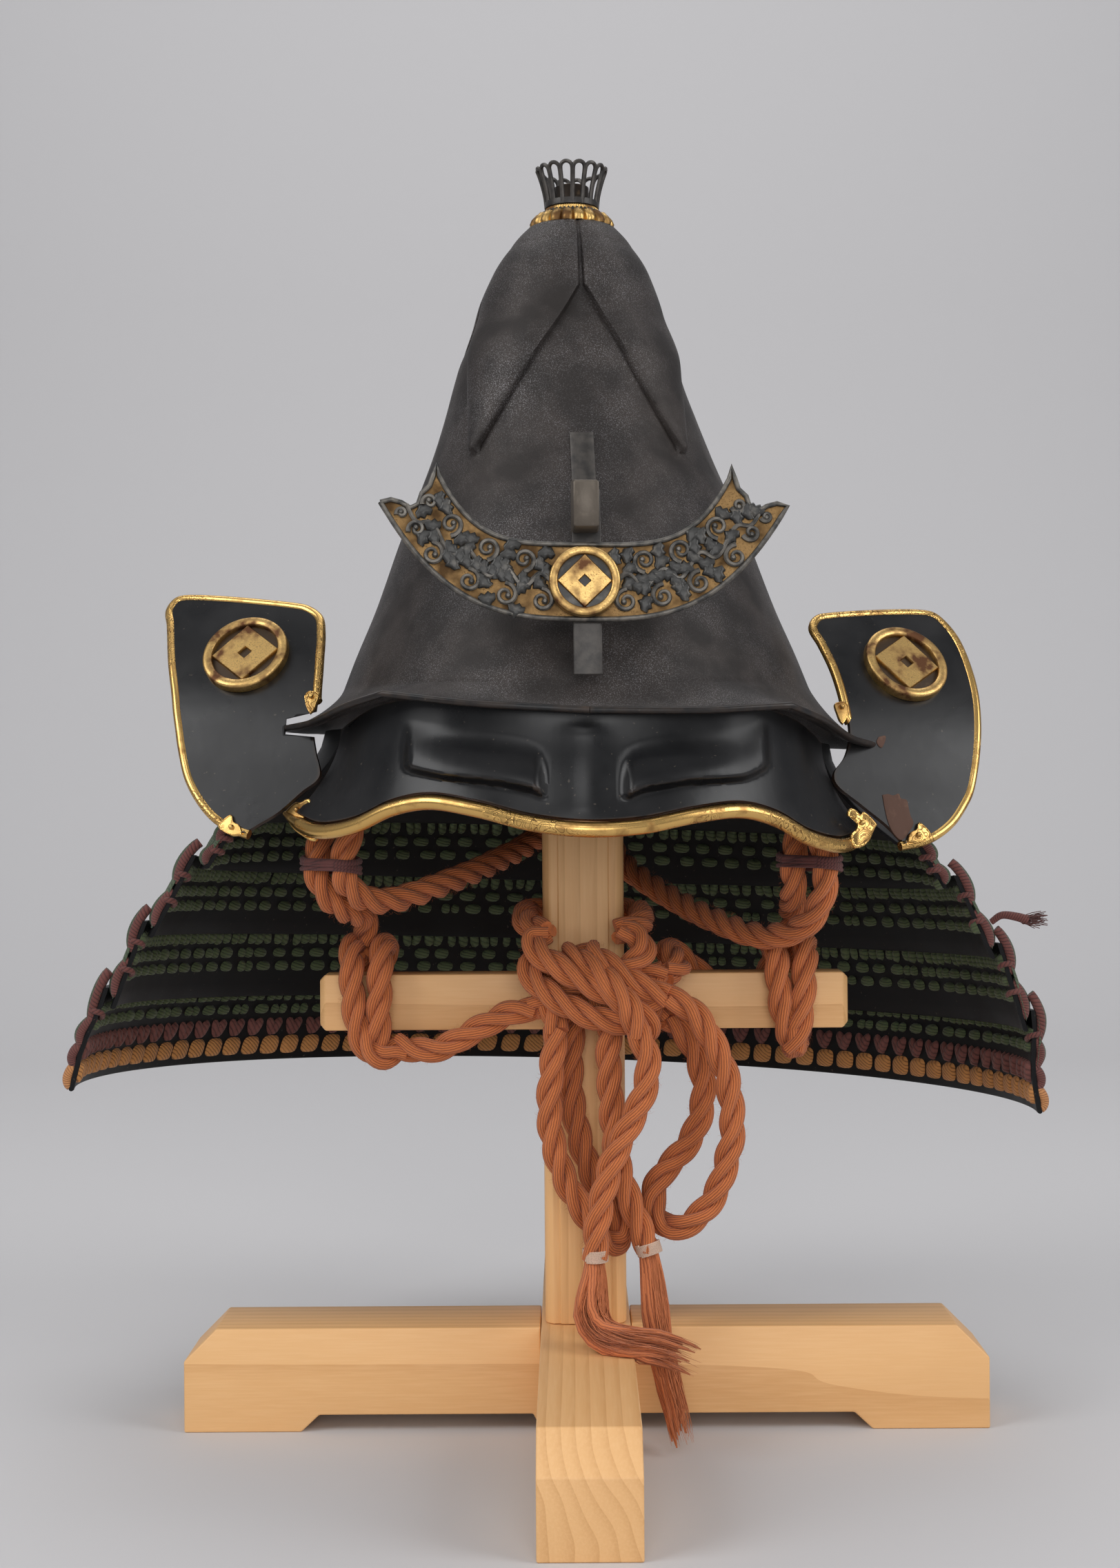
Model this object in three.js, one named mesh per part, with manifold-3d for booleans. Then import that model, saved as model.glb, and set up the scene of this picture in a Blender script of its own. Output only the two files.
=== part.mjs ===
// A kabuto, the samurai's helmet, resting on its plain wooden stand.
// Millimetres, +Z up, the wearer's face towards -Y. The origin is the middle of the stand's base on the surface.
import * as THREE from 'three';
import { mergeVertices } from 'three/addons/utils/BufferGeometryUtils.js';
import Module from 'manifold-3d';

const wasm = await Module();
wasm.setup();

// ---- driving dimensions ------------------------------------------------------------------------------
const GAP = 0.3; // clearance between pieces that touch

const BEAM = { length: 357.5, width: 40, height: 46, chamfer: 14.5, archRise: 7.5, foot: 52, footTop: 60 };
const POST = { width: 36.4, depth: 33, top: 512, moulding: 7, quirk: 1 };
const CROSSBAR = { length: 237, height: 25, thickness: 16, centreZ: 189.4, frontY: -10, chamfer: 2.5 };

const HELMET = { x: -2.5, turn: 2, roll: 2, rollCentreZ: 300 }; // it sits a little turned, right side low
const IRON = 2.2; // wall of the bowl
const LACQUER = 2.4; // wall of visor, ears and lames

const BOWL = { baseZ: 329, baseShiftY: 3, depthRatio: 1.12, holeRadius: 8, columns: 20, lobeRise: 1.8 };
// outer half-width of the bowl at each height, top to base
const BOWL_PROFILE = [
  { z: 541.5, half: 8.4 }, { z: 540.6, half: 17 }, { z: 538.3, half: 20.5 }, { z: 531, half: 28.4 },
  { z: 515.5, half: 36.2 }, { z: 490, half: 44.9 }, { z: 460, half: 53.7 }, { z: 435, half: 62.4 },
  { z: 397, half: 78 }, { z: 364, half: 90.2 }, { z: 343, half: 99.2 }, { z: 329, half: 104.7 },
];
const BOWL_ROWS = [541.5, 540.4, 538, 529, 515, 496, 474, 455, 441, 436, 418, 392, 360, 329];
const LOBE = { apexZ: 512, tipZ: 437, seam: 1.6, step: 0.7, tipHalfAngle: 43.6, evenZ: 397 };
const FLARE_ROWS = [0.4, 0.75, 1]; // shares of the way from the bowl's base out to the edge of its flange
// edge of the flange, from the front (column 0) round one side to the back (column 20)
const FLANGE = [
  { column: 0, x: 0, y: -125, z: 317.2 }, { column: 2, x: 41, y: -120.5, z: 318.4 },
  { column: 4, x: 82, y: -107, z: 322 }, { column: 5, x: 97, y: -91, z: 317.5 },
  { column: 7, x: 116, y: -61, z: 310 }, { column: 8, x: 127, y: -45, z: 308 },
  { column: 9, x: 122, y: -20, z: 308 }, { column: 10, x: 118, y: 5, z: 308.5 },
  { column: 12, x: 112, y: 50, z: 309 }, { column: 14, x: 97, y: 88, z: 309 },
  { column: 16, x: 73, y: 112, z: 309 }, { column: 18, x: 38, y: 129, z: 309 },
  { column: 20, x: 0, y: 134, z: 309 },
];

const TOP_RING = { radius: 19, lobes: 16, low: 541.9, high: 546.6 };
const BEAD_RING = { radius: 11.7, low: 546.9, high: 549.3 };
const TUBE = { outer: 7.8, inner: 6.2, low: 531, high: 559 };
const BASKET = { low: 549.6, high: 567.5, baseRadius: 11.6, topRadius: 15.8, wall: 1.4, loops: 16 };

// the visor hangs under the flange: its upper edge and its rim, from the middle to the side
const VISOR = [
  { top: [0, -117.5, 314.2], rim: [0, -131, 269.2] },
  { top: [20, -116, 314.6], rim: [21.5, -128, 270.9] },
  { top: [41, -112, 315.6], rim: [43.5, -121, 275.7] },
  { top: [60, -106, 317], rim: [62.6, -112, 278] },
  { top: [74, -97, 317.6], rim: [77.7, -103, 274.8] },
  { top: [87, -83, 314.5], rim: [93.2, -92, 267.2] },
  { top: [96.5, -69, 309.5], rim: [108.5, -78, 264.2] },
  { top: [102, -60, 305.5], rim: [119.5, -63.5, 267.6] },
];
const RIM_END = [125, -57.5, 271]; // the rim runs a little further than the visor's own end
const RIM_RADIUS = 3;
const BROW = { rise: 4, innerX: 17, outerX: 76, lowZ: 288, highZ: 304, edge: 5 };

// each ear plate is a stack of rows from its lower tip up: [x, z] of its inner and its outer edge
const EAR_LEFT = [
  [-139, 263, -145, 262.6], [-127, 271, -151.5, 264.6], [-116.6, 280.4, -161.7, 270.8],
  [-109.3, 288, -170.5, 282], [-112, 297.5, -175.3, 294.5], [-113.6, 304, -178, 304],
  [-114, 312, -180.6, 314.2], [-113.5, 320, -183, 323], [-114.4, 337, -186.3, 336.2],
  [-115.3, 353, -190.3, 352], [-117.5, 360, -192.3, 362], [-123, 363.7, -188, 368.3],
];
const EAR_RIGHT = [
  [134, 266, 139.5, 264.8], [128.2, 272.4, 149, 267.7], [116, 281.7, 159.4, 274.8],
  [107, 290, 166, 283], [107, 297, 170.5, 294.3], [111, 304, 172.4, 304],
  [111.8, 317.5, 173.7, 317.5], [109.8, 329.8, 173.2, 331], [106.5, 340.7, 171.5, 343],
  [101.7, 352.4, 168.3, 355], [97.8, 359.6, 164.5, 364], [103, 365.6, 156, 369.7],
];
const EAR = { frontY: -62, insideX: 109, turn: 0.28, leanZ: 290, lean: 0.35, curl: 0.0035, inset: 2.4 };
const NOTCH = { tipX: 126.5, low: 304.6, high: 311.2, mouthLow: 302.5, mouthHigh: 319.5 };
const EAR_RIM_RADIUS = 1.9;
const EAR_MEDAL = { radius: 19.2, band: 4.2, hole: 3.2, base: 0.8, rise: 2.2 };
const EAR_MEDAL_AT = { left: [-149.5, 339], right: [140, 342.5] };

const CREST = { x: -1.2, y: -125.5, z: 366, lean: 8, roll: 0.8, plate: 1.5, relief: 1.4 };
const CRESCENT = { tipX: 81, lowZ: -15, lowRise: 47, lowPower: 3.04, topZ: 16, topX: 57, topRise: 27,
  topPower: 4.2 };
// the cloud-shaped notches of one end, from the outer tip to the inner tip
const CRESCENT_END = [[76.3, 32.5], [72, 31.8], [68, 29.8], [65.2, 31], [64, 35], [61, 37.5], [59.6, 41]];
const CREST_BORDER = 1.7;
const SCROLL = { step: 9.3, curls: 6, wave: 2.4, radius: 5.4, line: 0.9, reach: 64 };
const CREST_MEDAL = { radius: 14, band: 3.3, hole: 2.4, base: 0.8, rise: 1.8 };
const PRONG = { width: 11.4, depth: 3.6, low: 330, high: 404, y: -123.2, slotLow: 391, slotHigh: 400,
  neck: 5 };
const HOOK = { width: 9.2, low: 387.5, high: 406, frontY: -133, headDepth: 6, stripTop: 427, strip: 2.6 };

// one row a lame, the upper one first: heights of its edges at the front ends and at the back, and the
// half-width and half-depth of its oval at the upper and the lower edge
const LAMES = [
  { name: 'lame_1', endTop: 303.5, endLow: 265, backTop: 306, backLow: 265, wTop: 113, wLow: 148,
    dTop: 125, dLow: 147, endY: -55, rows: [0, 0.35, 0.7, 1], flare: 1.7 },
  { name: 'lame_2', endTop: 263.5, endLow: 246.4, backTop: 272, backLow: 235.5, wTop: 157, wLow: 167,
    dTop: 152.5, dLow: 164, endY: -47, rows: [0, 1], laceGap: 1.2 },
  { name: 'lame_3', endTop: 251.7, endLow: 216.3, backTop: 241.5, backLow: 203.5, wTop: 171.5,
    wLow: 188.5, dTop: 169, dLow: 182, endY: -43, rows: [0, 1] },
  { name: 'lame_4', endTop: 222.5, endLow: 184.8, backTop: 209.5, backLow: 170.5, wTop: 191, wLow: 203.5,
    dTop: 187, dLow: 195.5, endY: -40, rows: [0, 1] },
  { name: 'lame_5', endTop: 193.3, endLow: 148.8, backTop: 178.5, backLow: 136.5, wTop: 206.5,
    wLow: 215.5, dTop: 200.5, dLow: 206.5, endY: -38, rows: [0, 1] },
];
const LAME_STEPS = 24;
const LACE = { thickness: 1.3, gap: 0.8, end: 0.015 };

const ROPE = 12; // diameter of the twisted rope
const BIND = { height: 7, wall: 2, clear: 1.7 };

// ---- colours -----------------------------------------------------------------------------------------
const FINISH = {
  wood: { color: 0xdcb07c, roughness: 0.55, metalness: 0 },
  iron: { color: 0x2b2524, roughness: 0.55, metalness: 0.6 },
  lacquer: { color: 0x0d0c0d, roughness: 0.2, metalness: 0.1 },
  gilt: { color: 0xb98a3c, roughness: 0.35, metalness: 1 },
  bronze: { color: 0x4a4038, roughness: 0.45, metalness: 0.8 },
  patina: { color: 0x2d302f, roughness: 0.4, metalness: 0.7 },
  green: { color: 0x22321f, roughness: 0.9, metalness: 0 },
  maroon: { color: 0x4a2320, roughness: 0.9, metalness: 0 },
  rope: { color: 0xb0603a, roughness: 0.85, metalness: 0 },
};

// ---- solids ------------------------------------------------------------------------------------------
const radians = (degrees) => (degrees * Math.PI) / 180;
const mix = (a, b, t) => a + (b - a) * t;

// the geometry of a closed triangle mesh, its faces turned outwards
function closedGeometry(points, triangles) {
  let volume = 0;
  const c = new THREE.Vector3();
  for (const [i, j, k] of triangles) volume += points[i].dot(c.crossVectors(points[j], points[k]));
  const faces = volume < 0 ? triangles.map(([i, j, k]) => [i, k, j]) : triangles;
  const geometry = new THREE.BufferGeometry();
  geometry.setAttribute('position', new THREE.Float32BufferAttribute(points.flatMap((p) => p.toArray()),
    3));
  geometry.setIndex(faces.flat());
  return geometry;
}

// joins a row of closed outlines into one body; an open row gets a cap at each end
function loft(outlines, ring = false) {
  const n = outlines[0].length;
  const last = outlines.length - 1;
  const triangles = [];
  for (let s = 0; s < (ring ? outlines.length : last); s++) {
    const next = (s + 1) % outlines.length;
    for (let i = 0; i < n; i++) {
      const j = (i + 1) % n;
      triangles.push([s * n + i, s * n + j, next * n + j], [s * n + i, next * n + j, next * n + i]);
    }
  }
  if (!ring) {
    for (let i = 0; i < n / 2 - 1; i++) {
      const a = [i, i + 1, n - 2 - i, n - 1 - i];
      triangles.push([a[0], a[2], a[1]], [a[0], a[3], a[2]]);
      const b = a.map((v) => v + last * n);
      triangles.push([b[0], b[1], b[2]], [b[0], b[2], b[3]]);
    }
  }
  return closedGeometry(outlines.flat(), triangles.filter(([i, j, k]) => i !== j && j !== k && k !== i));
}

// a wall over a grid of points, thickened along its normals; side is +1 or -1
function wall(grid, thickness, side, ring = false) {
  const rows = grid[0].length;
  const pick = (s, r) => {
    const t = ring ? (s + grid.length) % grid.length : Math.min(Math.max(s, 0), grid.length - 1);
    return grid[t][Math.min(Math.max(r, 0), rows - 1)];
  };
  const outlines = grid.map((outer, s) => {
    const inner = outer.map((p, r) => {
      const along = pick(s + 1, r).clone().sub(pick(s - 1, r));
      const down = pick(s, r + 1).clone().sub(pick(s, r - 1));
      return p.clone().addScaledVector(along.cross(down).normalize(), side * thickness);
    });
    return [...outer, ...inner.reverse()];
  });
  return loft(outlines, ring);
}

// a bar of oval section along a line of points; sizes gives its width and height at each point
function bar(points, sizes, up, sides = 8) {
  return loft(points.map((p, i) => {
    const tangent = points[Math.min(i + 1, points.length - 1)].clone().sub(points[Math.max(i - 1,
      0)]).normalize();
    const across = tangent.clone().cross(up[i] ?? up[0]).normalize();
    const height = across.clone().cross(tangent).normalize();
    const [w, h] = sizes[i] ?? sizes[0];
    return Array.from({ length: sides }, (_, k) => {
      const a = ((k + 0.5) / sides) * 2 * Math.PI;
      return p.clone().addScaledVector(across, (w / 2) * Math.cos(a)).addScaledVector(height,
        (h / 2) * Math.sin(a));
    });
  }));
}

function solid(geometry) {
  const bare = geometry.clone();
  for (const name of Object.keys(bare.attributes)) if (name !== 'position') bare.deleteAttribute(name);
  const merged = mergeVertices(bare, 1e-4);
  const mesh = new wasm.Mesh({
    numProp: 3,
    vertProperties: new Float32Array(merged.attributes.position.array),
    triVerts: new Uint32Array(merged.index.array),
  });
  return new wasm.Manifold(mesh);
}

function geometryOf(manifold) {
  const mesh = manifold.getMesh();
  const geometry = new THREE.BufferGeometry();
  geometry.setAttribute('position', new THREE.BufferAttribute(mesh.vertProperties.slice(), 3));
  geometry.setIndex(new THREE.BufferAttribute(mesh.triVerts.slice(), 1));
  return geometry;
}

const cut = (geometry, ...tools) => geometryOf(tools.reduce((m, t) => m.subtract(solid(t)),
  solid(geometry)));
const join = (...geometries) => geometryOf(geometries.map(solid).reduce((a, b) => a.add(b)));

const shapeOf = (points) => new THREE.Shape(points.map(([x, y]) => new THREE.Vector2(x, y)));

// an outline in X and Z, given thickness from y0 back to y1
function slabXZ(shape, y0, y1, curveSegments = 8) {
  const geometry = new THREE.ExtrudeGeometry(shape, { depth: y1 - y0, bevelEnabled: false, curveSegments });
  return geometry.rotateX(Math.PI / 2).translate(0, y1, 0);
}

// an outline in Y and Z, given thickness from x0 to x1
function slabYZ(points, x0, x1) {
  const geometry = new THREE.ExtrudeGeometry(shapeOf(points), { depth: x1 - x0, bevelEnabled: false });
  return geometry.rotateY(Math.PI / 2).rotateX(Math.PI / 2).translate(x0, 0, 0);
}

const box = (x0, x1, y0, y1, z0, z1) =>
  new THREE.BoxGeometry(x1 - x0, y1 - y0, z1 - z0).translate((x0 + x1) / 2, (y0 + y1) / 2, (z0 + z1) / 2);

function mesh(name, geometry, finish) {
  const piece = new THREE.Mesh(geometry, new THREE.MeshStandardMaterial(FINISH[finish]));
  piece.name = name;
  return piece;
}

// ---- the stand ---------------------------------------------------------------------------------------
function beamOutline(arched) {
  const half = BEAM.length / 2;
  const c = BEAM.chamfer;
  const w = BEAM.width / 2;
  const rise = BEAM.archRise;
  const arch = [[w, 0], [w + rise / 2, rise], [half - BEAM.footTop, rise], [half - BEAM.foot, 0]];
  const under = arched ? [...arch.map(([x, z]) => [-x, z]).reverse(), ...arch] : [];
  return [[-half, 0], ...under, [half, 0], [half, BEAM.height - c], [half - c, BEAM.height],
    [-half + c, BEAM.height], [-half, BEAM.height - c]];
}

function stand() {
  const w = BEAM.width / 2;
  const lapZ = BEAM.height / 2;
  const cross = cut(slabXZ(shapeOf(beamOutline(true)), -w, w),
    box(-w - GAP, w + GAP, -w - 1, w + 1, lapZ, BEAM.height + 1));
  const long = cut(slabYZ(beamOutline(false), -w, w),
    box(-w - 1, w + 1, -w - GAP, w + GAP, -1, lapZ + GAP));
  return [mesh('stand_cross_beam', cross, 'wood'), mesh('stand_front_back_beam', long, 'wood'),
    mesh('stand_post', post(), 'wood'), mesh('stand_crossbar', crossbar(), 'wood')];
}

// the post: its two front corners are run with a quirked round
function post() {
  const w = POST.width / 2;
  const d = POST.depth / 2;
  const m = POST.moulding;
  const shape = new THREE.Shape();
  shape.moveTo(-w, d);
  shape.lineTo(-w, -d + m);
  shape.absarc(-w + m, -d + m, m, Math.PI, 1.35 * Math.PI, false);
  shape.lineTo(-w + m, -d + POST.quirk);
  shape.lineTo(-w + m, -d);
  shape.lineTo(w - m, -d);
  shape.lineTo(w - m, -d + POST.quirk);
  shape.absarc(w - m, -d + m, m, 1.65 * Math.PI, 2 * Math.PI, false);
  shape.lineTo(w, d);
  const low = BEAM.height + GAP;
  const body = new THREE.ExtrudeGeometry(shape, { depth: POST.top - low, bevelEnabled: false,
    curveSegments: 3 });
  body.translate(0, 0, low);
  const { height, thickness, centreZ, frontY } = CROSSBAR;
  const slot = box(-w - 1, w + 1, frontY - GAP, frontY + thickness + GAP,
    centreZ - height / 2 - GAP, centreZ + height / 2 + GAP);
  return cut(body, slot);
}

function crossbar() {
  const { length, height, thickness, centreZ, frontY, chamfer } = CROSSBAR;
  const section = (x, trim) => [[-1, -1], [1, -1], [1, 1], [-1, 1]].map(([a, b]) => new THREE.Vector3(
    x, frontY + thickness / 2 + a * (thickness / 2 - trim), centreZ + b * (height / 2 - trim)));
  const half = length / 2;
  return loft([section(-half, chamfer), section(-half + chamfer, 0), section(half - chamfer, 0),
    section(half, chamfer)]);
}

// ---- the bowl ----------------------------------------------------------------------------------------
function halfWidth(z) {
  const k = BOWL_PROFILE.findIndex((row) => row.z <= z);
  if (k <= 0) return BOWL_PROFILE[Math.max(k, 0)].half;
  const [a, b] = [BOWL_PROFILE[k - 1], BOWL_PROFILE[k]];
  return mix(a.half, b.half, (a.z - z) / (a.z - b.z));
}

// how far down the bowl a height is: 0 at the top, 1 at the base
const depthShare = (z) => THREE.MathUtils.clamp((538 - z) / (538 - BOWL.baseZ), 0, 1);

function ovalPoint(z, degrees, rise) {
  const share = depthShare(z);
  const w = halfWidth(z) + rise;
  const d = halfWidth(z) * mix(1, BOWL.depthRatio, share) + rise;
  const a = radians(degrees);
  return new THREE.Vector3(w * Math.sin(a), share * BOWL.baseShiftY - d * Math.cos(a), z);
}

// half of the angle that a notch between two lobes takes up at a height
function notchAngle(z) {
  if (z <= LOBE.tipZ) return LOBE.tipHalfAngle;
  const half = ((LOBE.apexZ - z) / (LOBE.apexZ - LOBE.tipZ)) * 43;
  const angle = (Math.asin(Math.min(Math.max(half, 0) / halfWidth(z), 0.69)) * 180) / Math.PI;
  return THREE.MathUtils.clamp(angle, LOBE.seam, LOBE.tipHalfAngle);
}

// where each of the ten columns of a quarter turn stands at a height, and whether it is on a raised lobe
function quarterColumns(z) {
  const n = notchAngle(z);
  const first = n + LOBE.step;
  const span = 90 - 2 * first;
  const lobed = [0, n / 2, n, first, first + span / 4, first + span / 2, first + (3 * span) / 4,
    90 - first, 90 - n, 90 - n / 2];
  const even = THREE.MathUtils.clamp((LOBE.tipZ + 4 - z) / (LOBE.tipZ + 4 - LOBE.evenZ), 0, 1);
  const fade = z < LOBE.tipZ ? 0 : 1;
  return lobed.map((angle, i) => ({ angle: mix(angle, i * 9, even),
    rise: i >= 3 && i <= 7 ? BOWL.lobeRise * fade : 0 }));
}

function column(z, index) {
  const full = 2 * BOWL.columns;
  const i = ((index % full) + full) % full;
  const quarter = quarterColumns(z)[i % 10];
  return { angle: Math.floor(i / 10) * 90 + quarter.angle, rise: quarter.rise };
}

// the flange's edge at a column; the helmet's lower parts are rolled, and the flange with them
function flangePoint(index) {
  const full = 2 * BOWL.columns;
  const turn = ((index % full) + full) % full;
  const c = turn > BOWL.columns ? full - turn : turn;
  const k = Math.max(1, FLANGE.findIndex((row) => row.column >= c));
  const [a, b] = [FLANGE[k - 1], FLANGE[k]];
  const t = (c - a.column) / (b.column - a.column);
  const side = turn > BOWL.columns ? -1 : 1;
  const p = new THREE.Vector3(side * mix(a.x, b.x, t), mix(a.y, b.y, t),
    mix(a.z, b.z, t) - HELMET.rollCentreZ);
  return p.applyAxisAngle(new THREE.Vector3(0, 1, 0), radians(HELMET.roll)).setZ(p.z + HELMET.rollCentreZ);
}

function bowl() {
  const columns = Array.from({ length: 2 * BOWL.columns }, (_, i) => i);
  const outer = columns.map((i) => {
    const rows = BOWL_ROWS.map((z) => ovalPoint(z, column(z, i).angle, column(z, i).rise));
    const base = rows[rows.length - 1];
    const edge = flangePoint(i);
    for (const t of FLARE_ROWS) {
      const p = base.clone().lerp(edge, t);
      rows.push(p.setZ(mix(base.z, edge.z, 1 - (1 - t) ** 1.7)));
    }
    return rows;
  });
  const innerRows = [541.5, 529, 496, 455, 418, 372, BOWL.baseZ];
  const outlines = columns.map((i) => {
    const inner = innerRows.map((z, r) => {
      const p = ovalPoint(Math.min(z, 538), i * 9, -IRON);
      if (r === 0) return ovalPoint(541.5, i * 9, -GAP).setZ(538.6);
      return p;
    });
    const flare = outer[i].slice(-2).map((p, k) => p.clone().add(new THREE.Vector3(0, 0,
      k ? -IRON : -IRON * 1.25)));
    return [...outer[i], ...[...inner, ...flare].reverse()];
  });
  return mesh('bowl', loft(outlines, true), 'iron');
}

// ---- the fitting on top of the bowl ------------------------------------------------------------------
function ringOf(radius, hole, low, high, lobes, dent) {
  const steps = lobes ? lobes * 2 : 20;
  const shape = shapeOf(Array.from({ length: steps }, (_, i) => {
    const r = radius - (i % 2 ? dent : 0);
    return [r * Math.cos((i / steps) * 2 * Math.PI), r * Math.sin((i / steps) * 2 * Math.PI)];
  }));
  shape.holes.push(new THREE.Path().absarc(0, 0, hole, 0, 2 * Math.PI, true));
  const geometry = new THREE.ExtrudeGeometry(shape,
    { depth: high - low, bevelEnabled: false, curveSegments: 8 });
  return geometry.translate(0, 0, low);
}

function basket() {
  const { low, high, baseRadius, topRadius, wall: w, loops } = BASKET;
  const radius = (t) => mix(baseRadius, topRadius, t ** 1.4);
  const steps = loops * 2;
  const body = loft(Array.from({ length: steps }, (_, i) => {
    const a = (i / steps) * 2 * Math.PI;
    const top = i % 2 ? 1 : 0.93;
    const at = (t, inset) => new THREE.Vector3((radius(t) - inset) * Math.cos(a),
      (radius(t) - inset) * Math.sin(a), mix(low, high, t));
    return [at(0, 0), at(top, 0), at(top, w), at(0, w)];
  }), true);
  const windows = Array.from({ length: loops }, (_, i) => {
    const a = ((2 * i + 1) / steps) * 2 * Math.PI;
    const hole = shapeOf([[0.6, 3.4], [1.8, 14.4], [0, 15.8], [-1.8, 14.4], [-0.6, 3.4]]);
    const tool = new THREE.ExtrudeGeometry(hole, { depth: 14, bevelEnabled: false });
    return tool.rotateX(Math.PI / 2).translate(0, -7, 0).rotateZ(a + Math.PI / 2).translate(0, 0, low);
  });
  return cut(body, ...windows);
}

function topFitting() {
  const tube = new THREE.LatheGeometry([[TUBE.inner, TUBE.low], [TUBE.outer, TUBE.low],
    [TUBE.outer, TUBE.high],
    [TUBE.inner, TUBE.high], [TUBE.inner, TUBE.low]].map(([x, y]) => new THREE.Vector2(x,
      y)), 16).rotateX(Math.PI / 2);
  const hole = TUBE.outer + GAP;
  return [
    mesh('top_ring_lobed', ringOf(TOP_RING.radius, hole, TOP_RING.low, TOP_RING.high, TOP_RING.lobes,
      1.2), 'gilt'),
    mesh('top_ring_beaded', ringOf(BEAD_RING.radius, hole, BEAD_RING.low, BEAD_RING.high, 0, 0), 'gilt'),
    mesh('top_tube', tube, 'bronze'),
    mesh('top_basket', basket(), 'patina'),
  ];
}

// ---- the visor ---------------------------------------------------------------------------------------
// a point of a table of points, read as a smooth line; s runs from -1 through 0 at the middle to 1
function along(curve, s) {
  const p = curve.getPoint(Math.abs(s));
  return s < 0 ? p.set(-p.x, p.y, p.z) : p;
}

const visorTop = new THREE.CatmullRomCurve3(VISOR.map((row) => new THREE.Vector3(...row.top)), false,
  'centripetal');
const visorRim = new THREE.CatmullRomCurve3(VISOR.map((row) => new THREE.Vector3(...row.rim)), false,
  'centripetal');
const rimLine = new THREE.CatmullRomCurve3([...visorRim.points, new THREE.Vector3(...RIM_END)], false,
  'centripetal');

// the embossed brows swell out of the visor between their inner and outer ends
function browRise(x, z) {
  const a = Math.abs(x);
  const end = (v) => THREE.MathUtils.smoothstep(v, 0, BROW.edge);
  return BROW.rise * end(a - BROW.innerX) * end(BROW.outerX - a) * end(z - BROW.lowZ) * end(BROW.highZ + 4 - z);
}

function visor() {
  const steps = 32;
  const drops = [0, 0.26, 0.42, 0.56, 0.72, 0.88, 1];
  const grid = Array.from({ length: steps + 1 }, (_, i) => {
    const s = (2 * i) / steps - 1;
    const top = along(visorTop, s);
    const low = along(visorRim, s);
    low.z += RIM_RADIUS + 2 * GAP + 0.5;
    return drops.map((v) => {
      const out = v ** 1.8;
      const p = new THREE.Vector3(mix(top.x, low.x, out), mix(top.y, low.y, out), mix(top.z, low.z, v));
      return p.setY(p.y - browRise(p.x, p.z));
    });
  });
  const rimSteps = 34;
  const line = Array.from({ length: rimSteps + 1 }, (_, i) => along(rimLine, (2 * i) / rimSteps - 1));
  const sizes = line.map((_, i) => {
    const fromEnd = Math.min(i, rimSteps - i) / 3;
    return fromEnd < 1 ? [3.6, mix(2.5, 8, fromEnd)] : [5, 2 * RIM_RADIUS];
  });
  return [mesh('visor', wall(grid, LACQUER, -1), 'lacquer'),
    mesh('visor_rim', bar(line, sizes, [new THREE.Vector3(0, 0, 1)]), 'gilt')];
}

// ---- the turned-back ears ----------------------------------------------------------------------------
function earPoint(x, z, forward = 0) {
  const up = z - EAR.leanZ;
  const y = EAR.frontY + EAR.turn * (Math.abs(x) - EAR.insideX) + EAR.lean * up + (up > 0 ? EAR.curl * up * up : 0);
  const slope = EAR.lean + (up > 0 ? 2 * EAR.curl * up : 0);
  const normal = new THREE.Vector3(EAR.turn * Math.sign(x), -1, slope).normalize();
  return new THREE.Vector3(x, y, z).addScaledVector(normal, forward);
}

// a line of [x, z] points drawn inwards by a distance; towards is +1 when inwards lies to its right
function inwards(line, distance, towards) {
  return line.map(([x, z], i) => {
    const [ax, az] = line[Math.max(i - 1, 0)];
    const [bx, bz] = line[Math.min(i + 1, line.length - 1)];
    const length = Math.hypot(bx - ax, bz - az);
    return [x + (towards * distance * (bz - az)) / length, z - (towards * distance * (bx - ax)) / length];
  });
}

function ear(side, rows, medalAt) {
  const sign = side === 'left' ? -1 : 1;
  const innerEdge = inwards(rows.map(([x, z]) => [x, z]), EAR.inset, sign);
  const outerEdge = inwards(rows.map(([, , x, z]) => [x, z]), EAR.inset, -sign);
  const count = rows.length;
  for (const edge of [innerEdge, outerEdge]) {
    edge[count - 1][1] -= EAR.inset * 0.8;
    edge[0][1] += EAR.inset;
  }
  const grid = innerEdge.map(([ix, iz], i) => [0, 0.25, 0.5, 0.75, 1].map((t) =>
    earPoint(mix(ix, outerEdge[i][0], t), mix(iz, outerEdge[i][1], t))));
  const notch = slabXZ(shapeOf([[sign * NOTCH.tipX, NOTCH.low], [sign * NOTCH.tipX, NOTCH.high],
    [sign * 95, NOTCH.mouthHigh], [sign * 95, NOTCH.mouthLow]]), -90, -20);
  const plate = cut(wall(grid, LACQUER, sign), notch);
  const inner = rows.filter(([, z]) => z > NOTCH.mouthHigh - 2).map(([x, z]) => earPoint(x, z,
    -LACQUER / 2));
  const outer = rows.map(([, , x, z]) => earPoint(x, z, -LACQUER / 2)).reverse();
  const line = [...inner, ...outer];
  const rim = bar(line, [[2 * EAR_RIM_RADIUS, 2 * EAR_RIM_RADIUS]],
    line.map((p) => earPoint(p.x, p.z, 1).sub(earPoint(p.x, p.z))));
  const medal = mesh(`ear_medallion_${side}`, medallion(EAR_MEDAL), 'gilt');
  medal.position.copy(earPoint(...medalAt, GAP + 0.1));
  medal.quaternion.setFromUnitVectors(new THREE.Vector3(0, 0, 1),
    earPoint(...medalAt, 1).sub(earPoint(...medalAt)));
  return [mesh(`ear_${side}`, plate, 'lacquer'), mesh(`ear_rim_${side}`, rim, 'gilt'), medal];
}

const MEDALLION_SIDES = 20;

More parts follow.
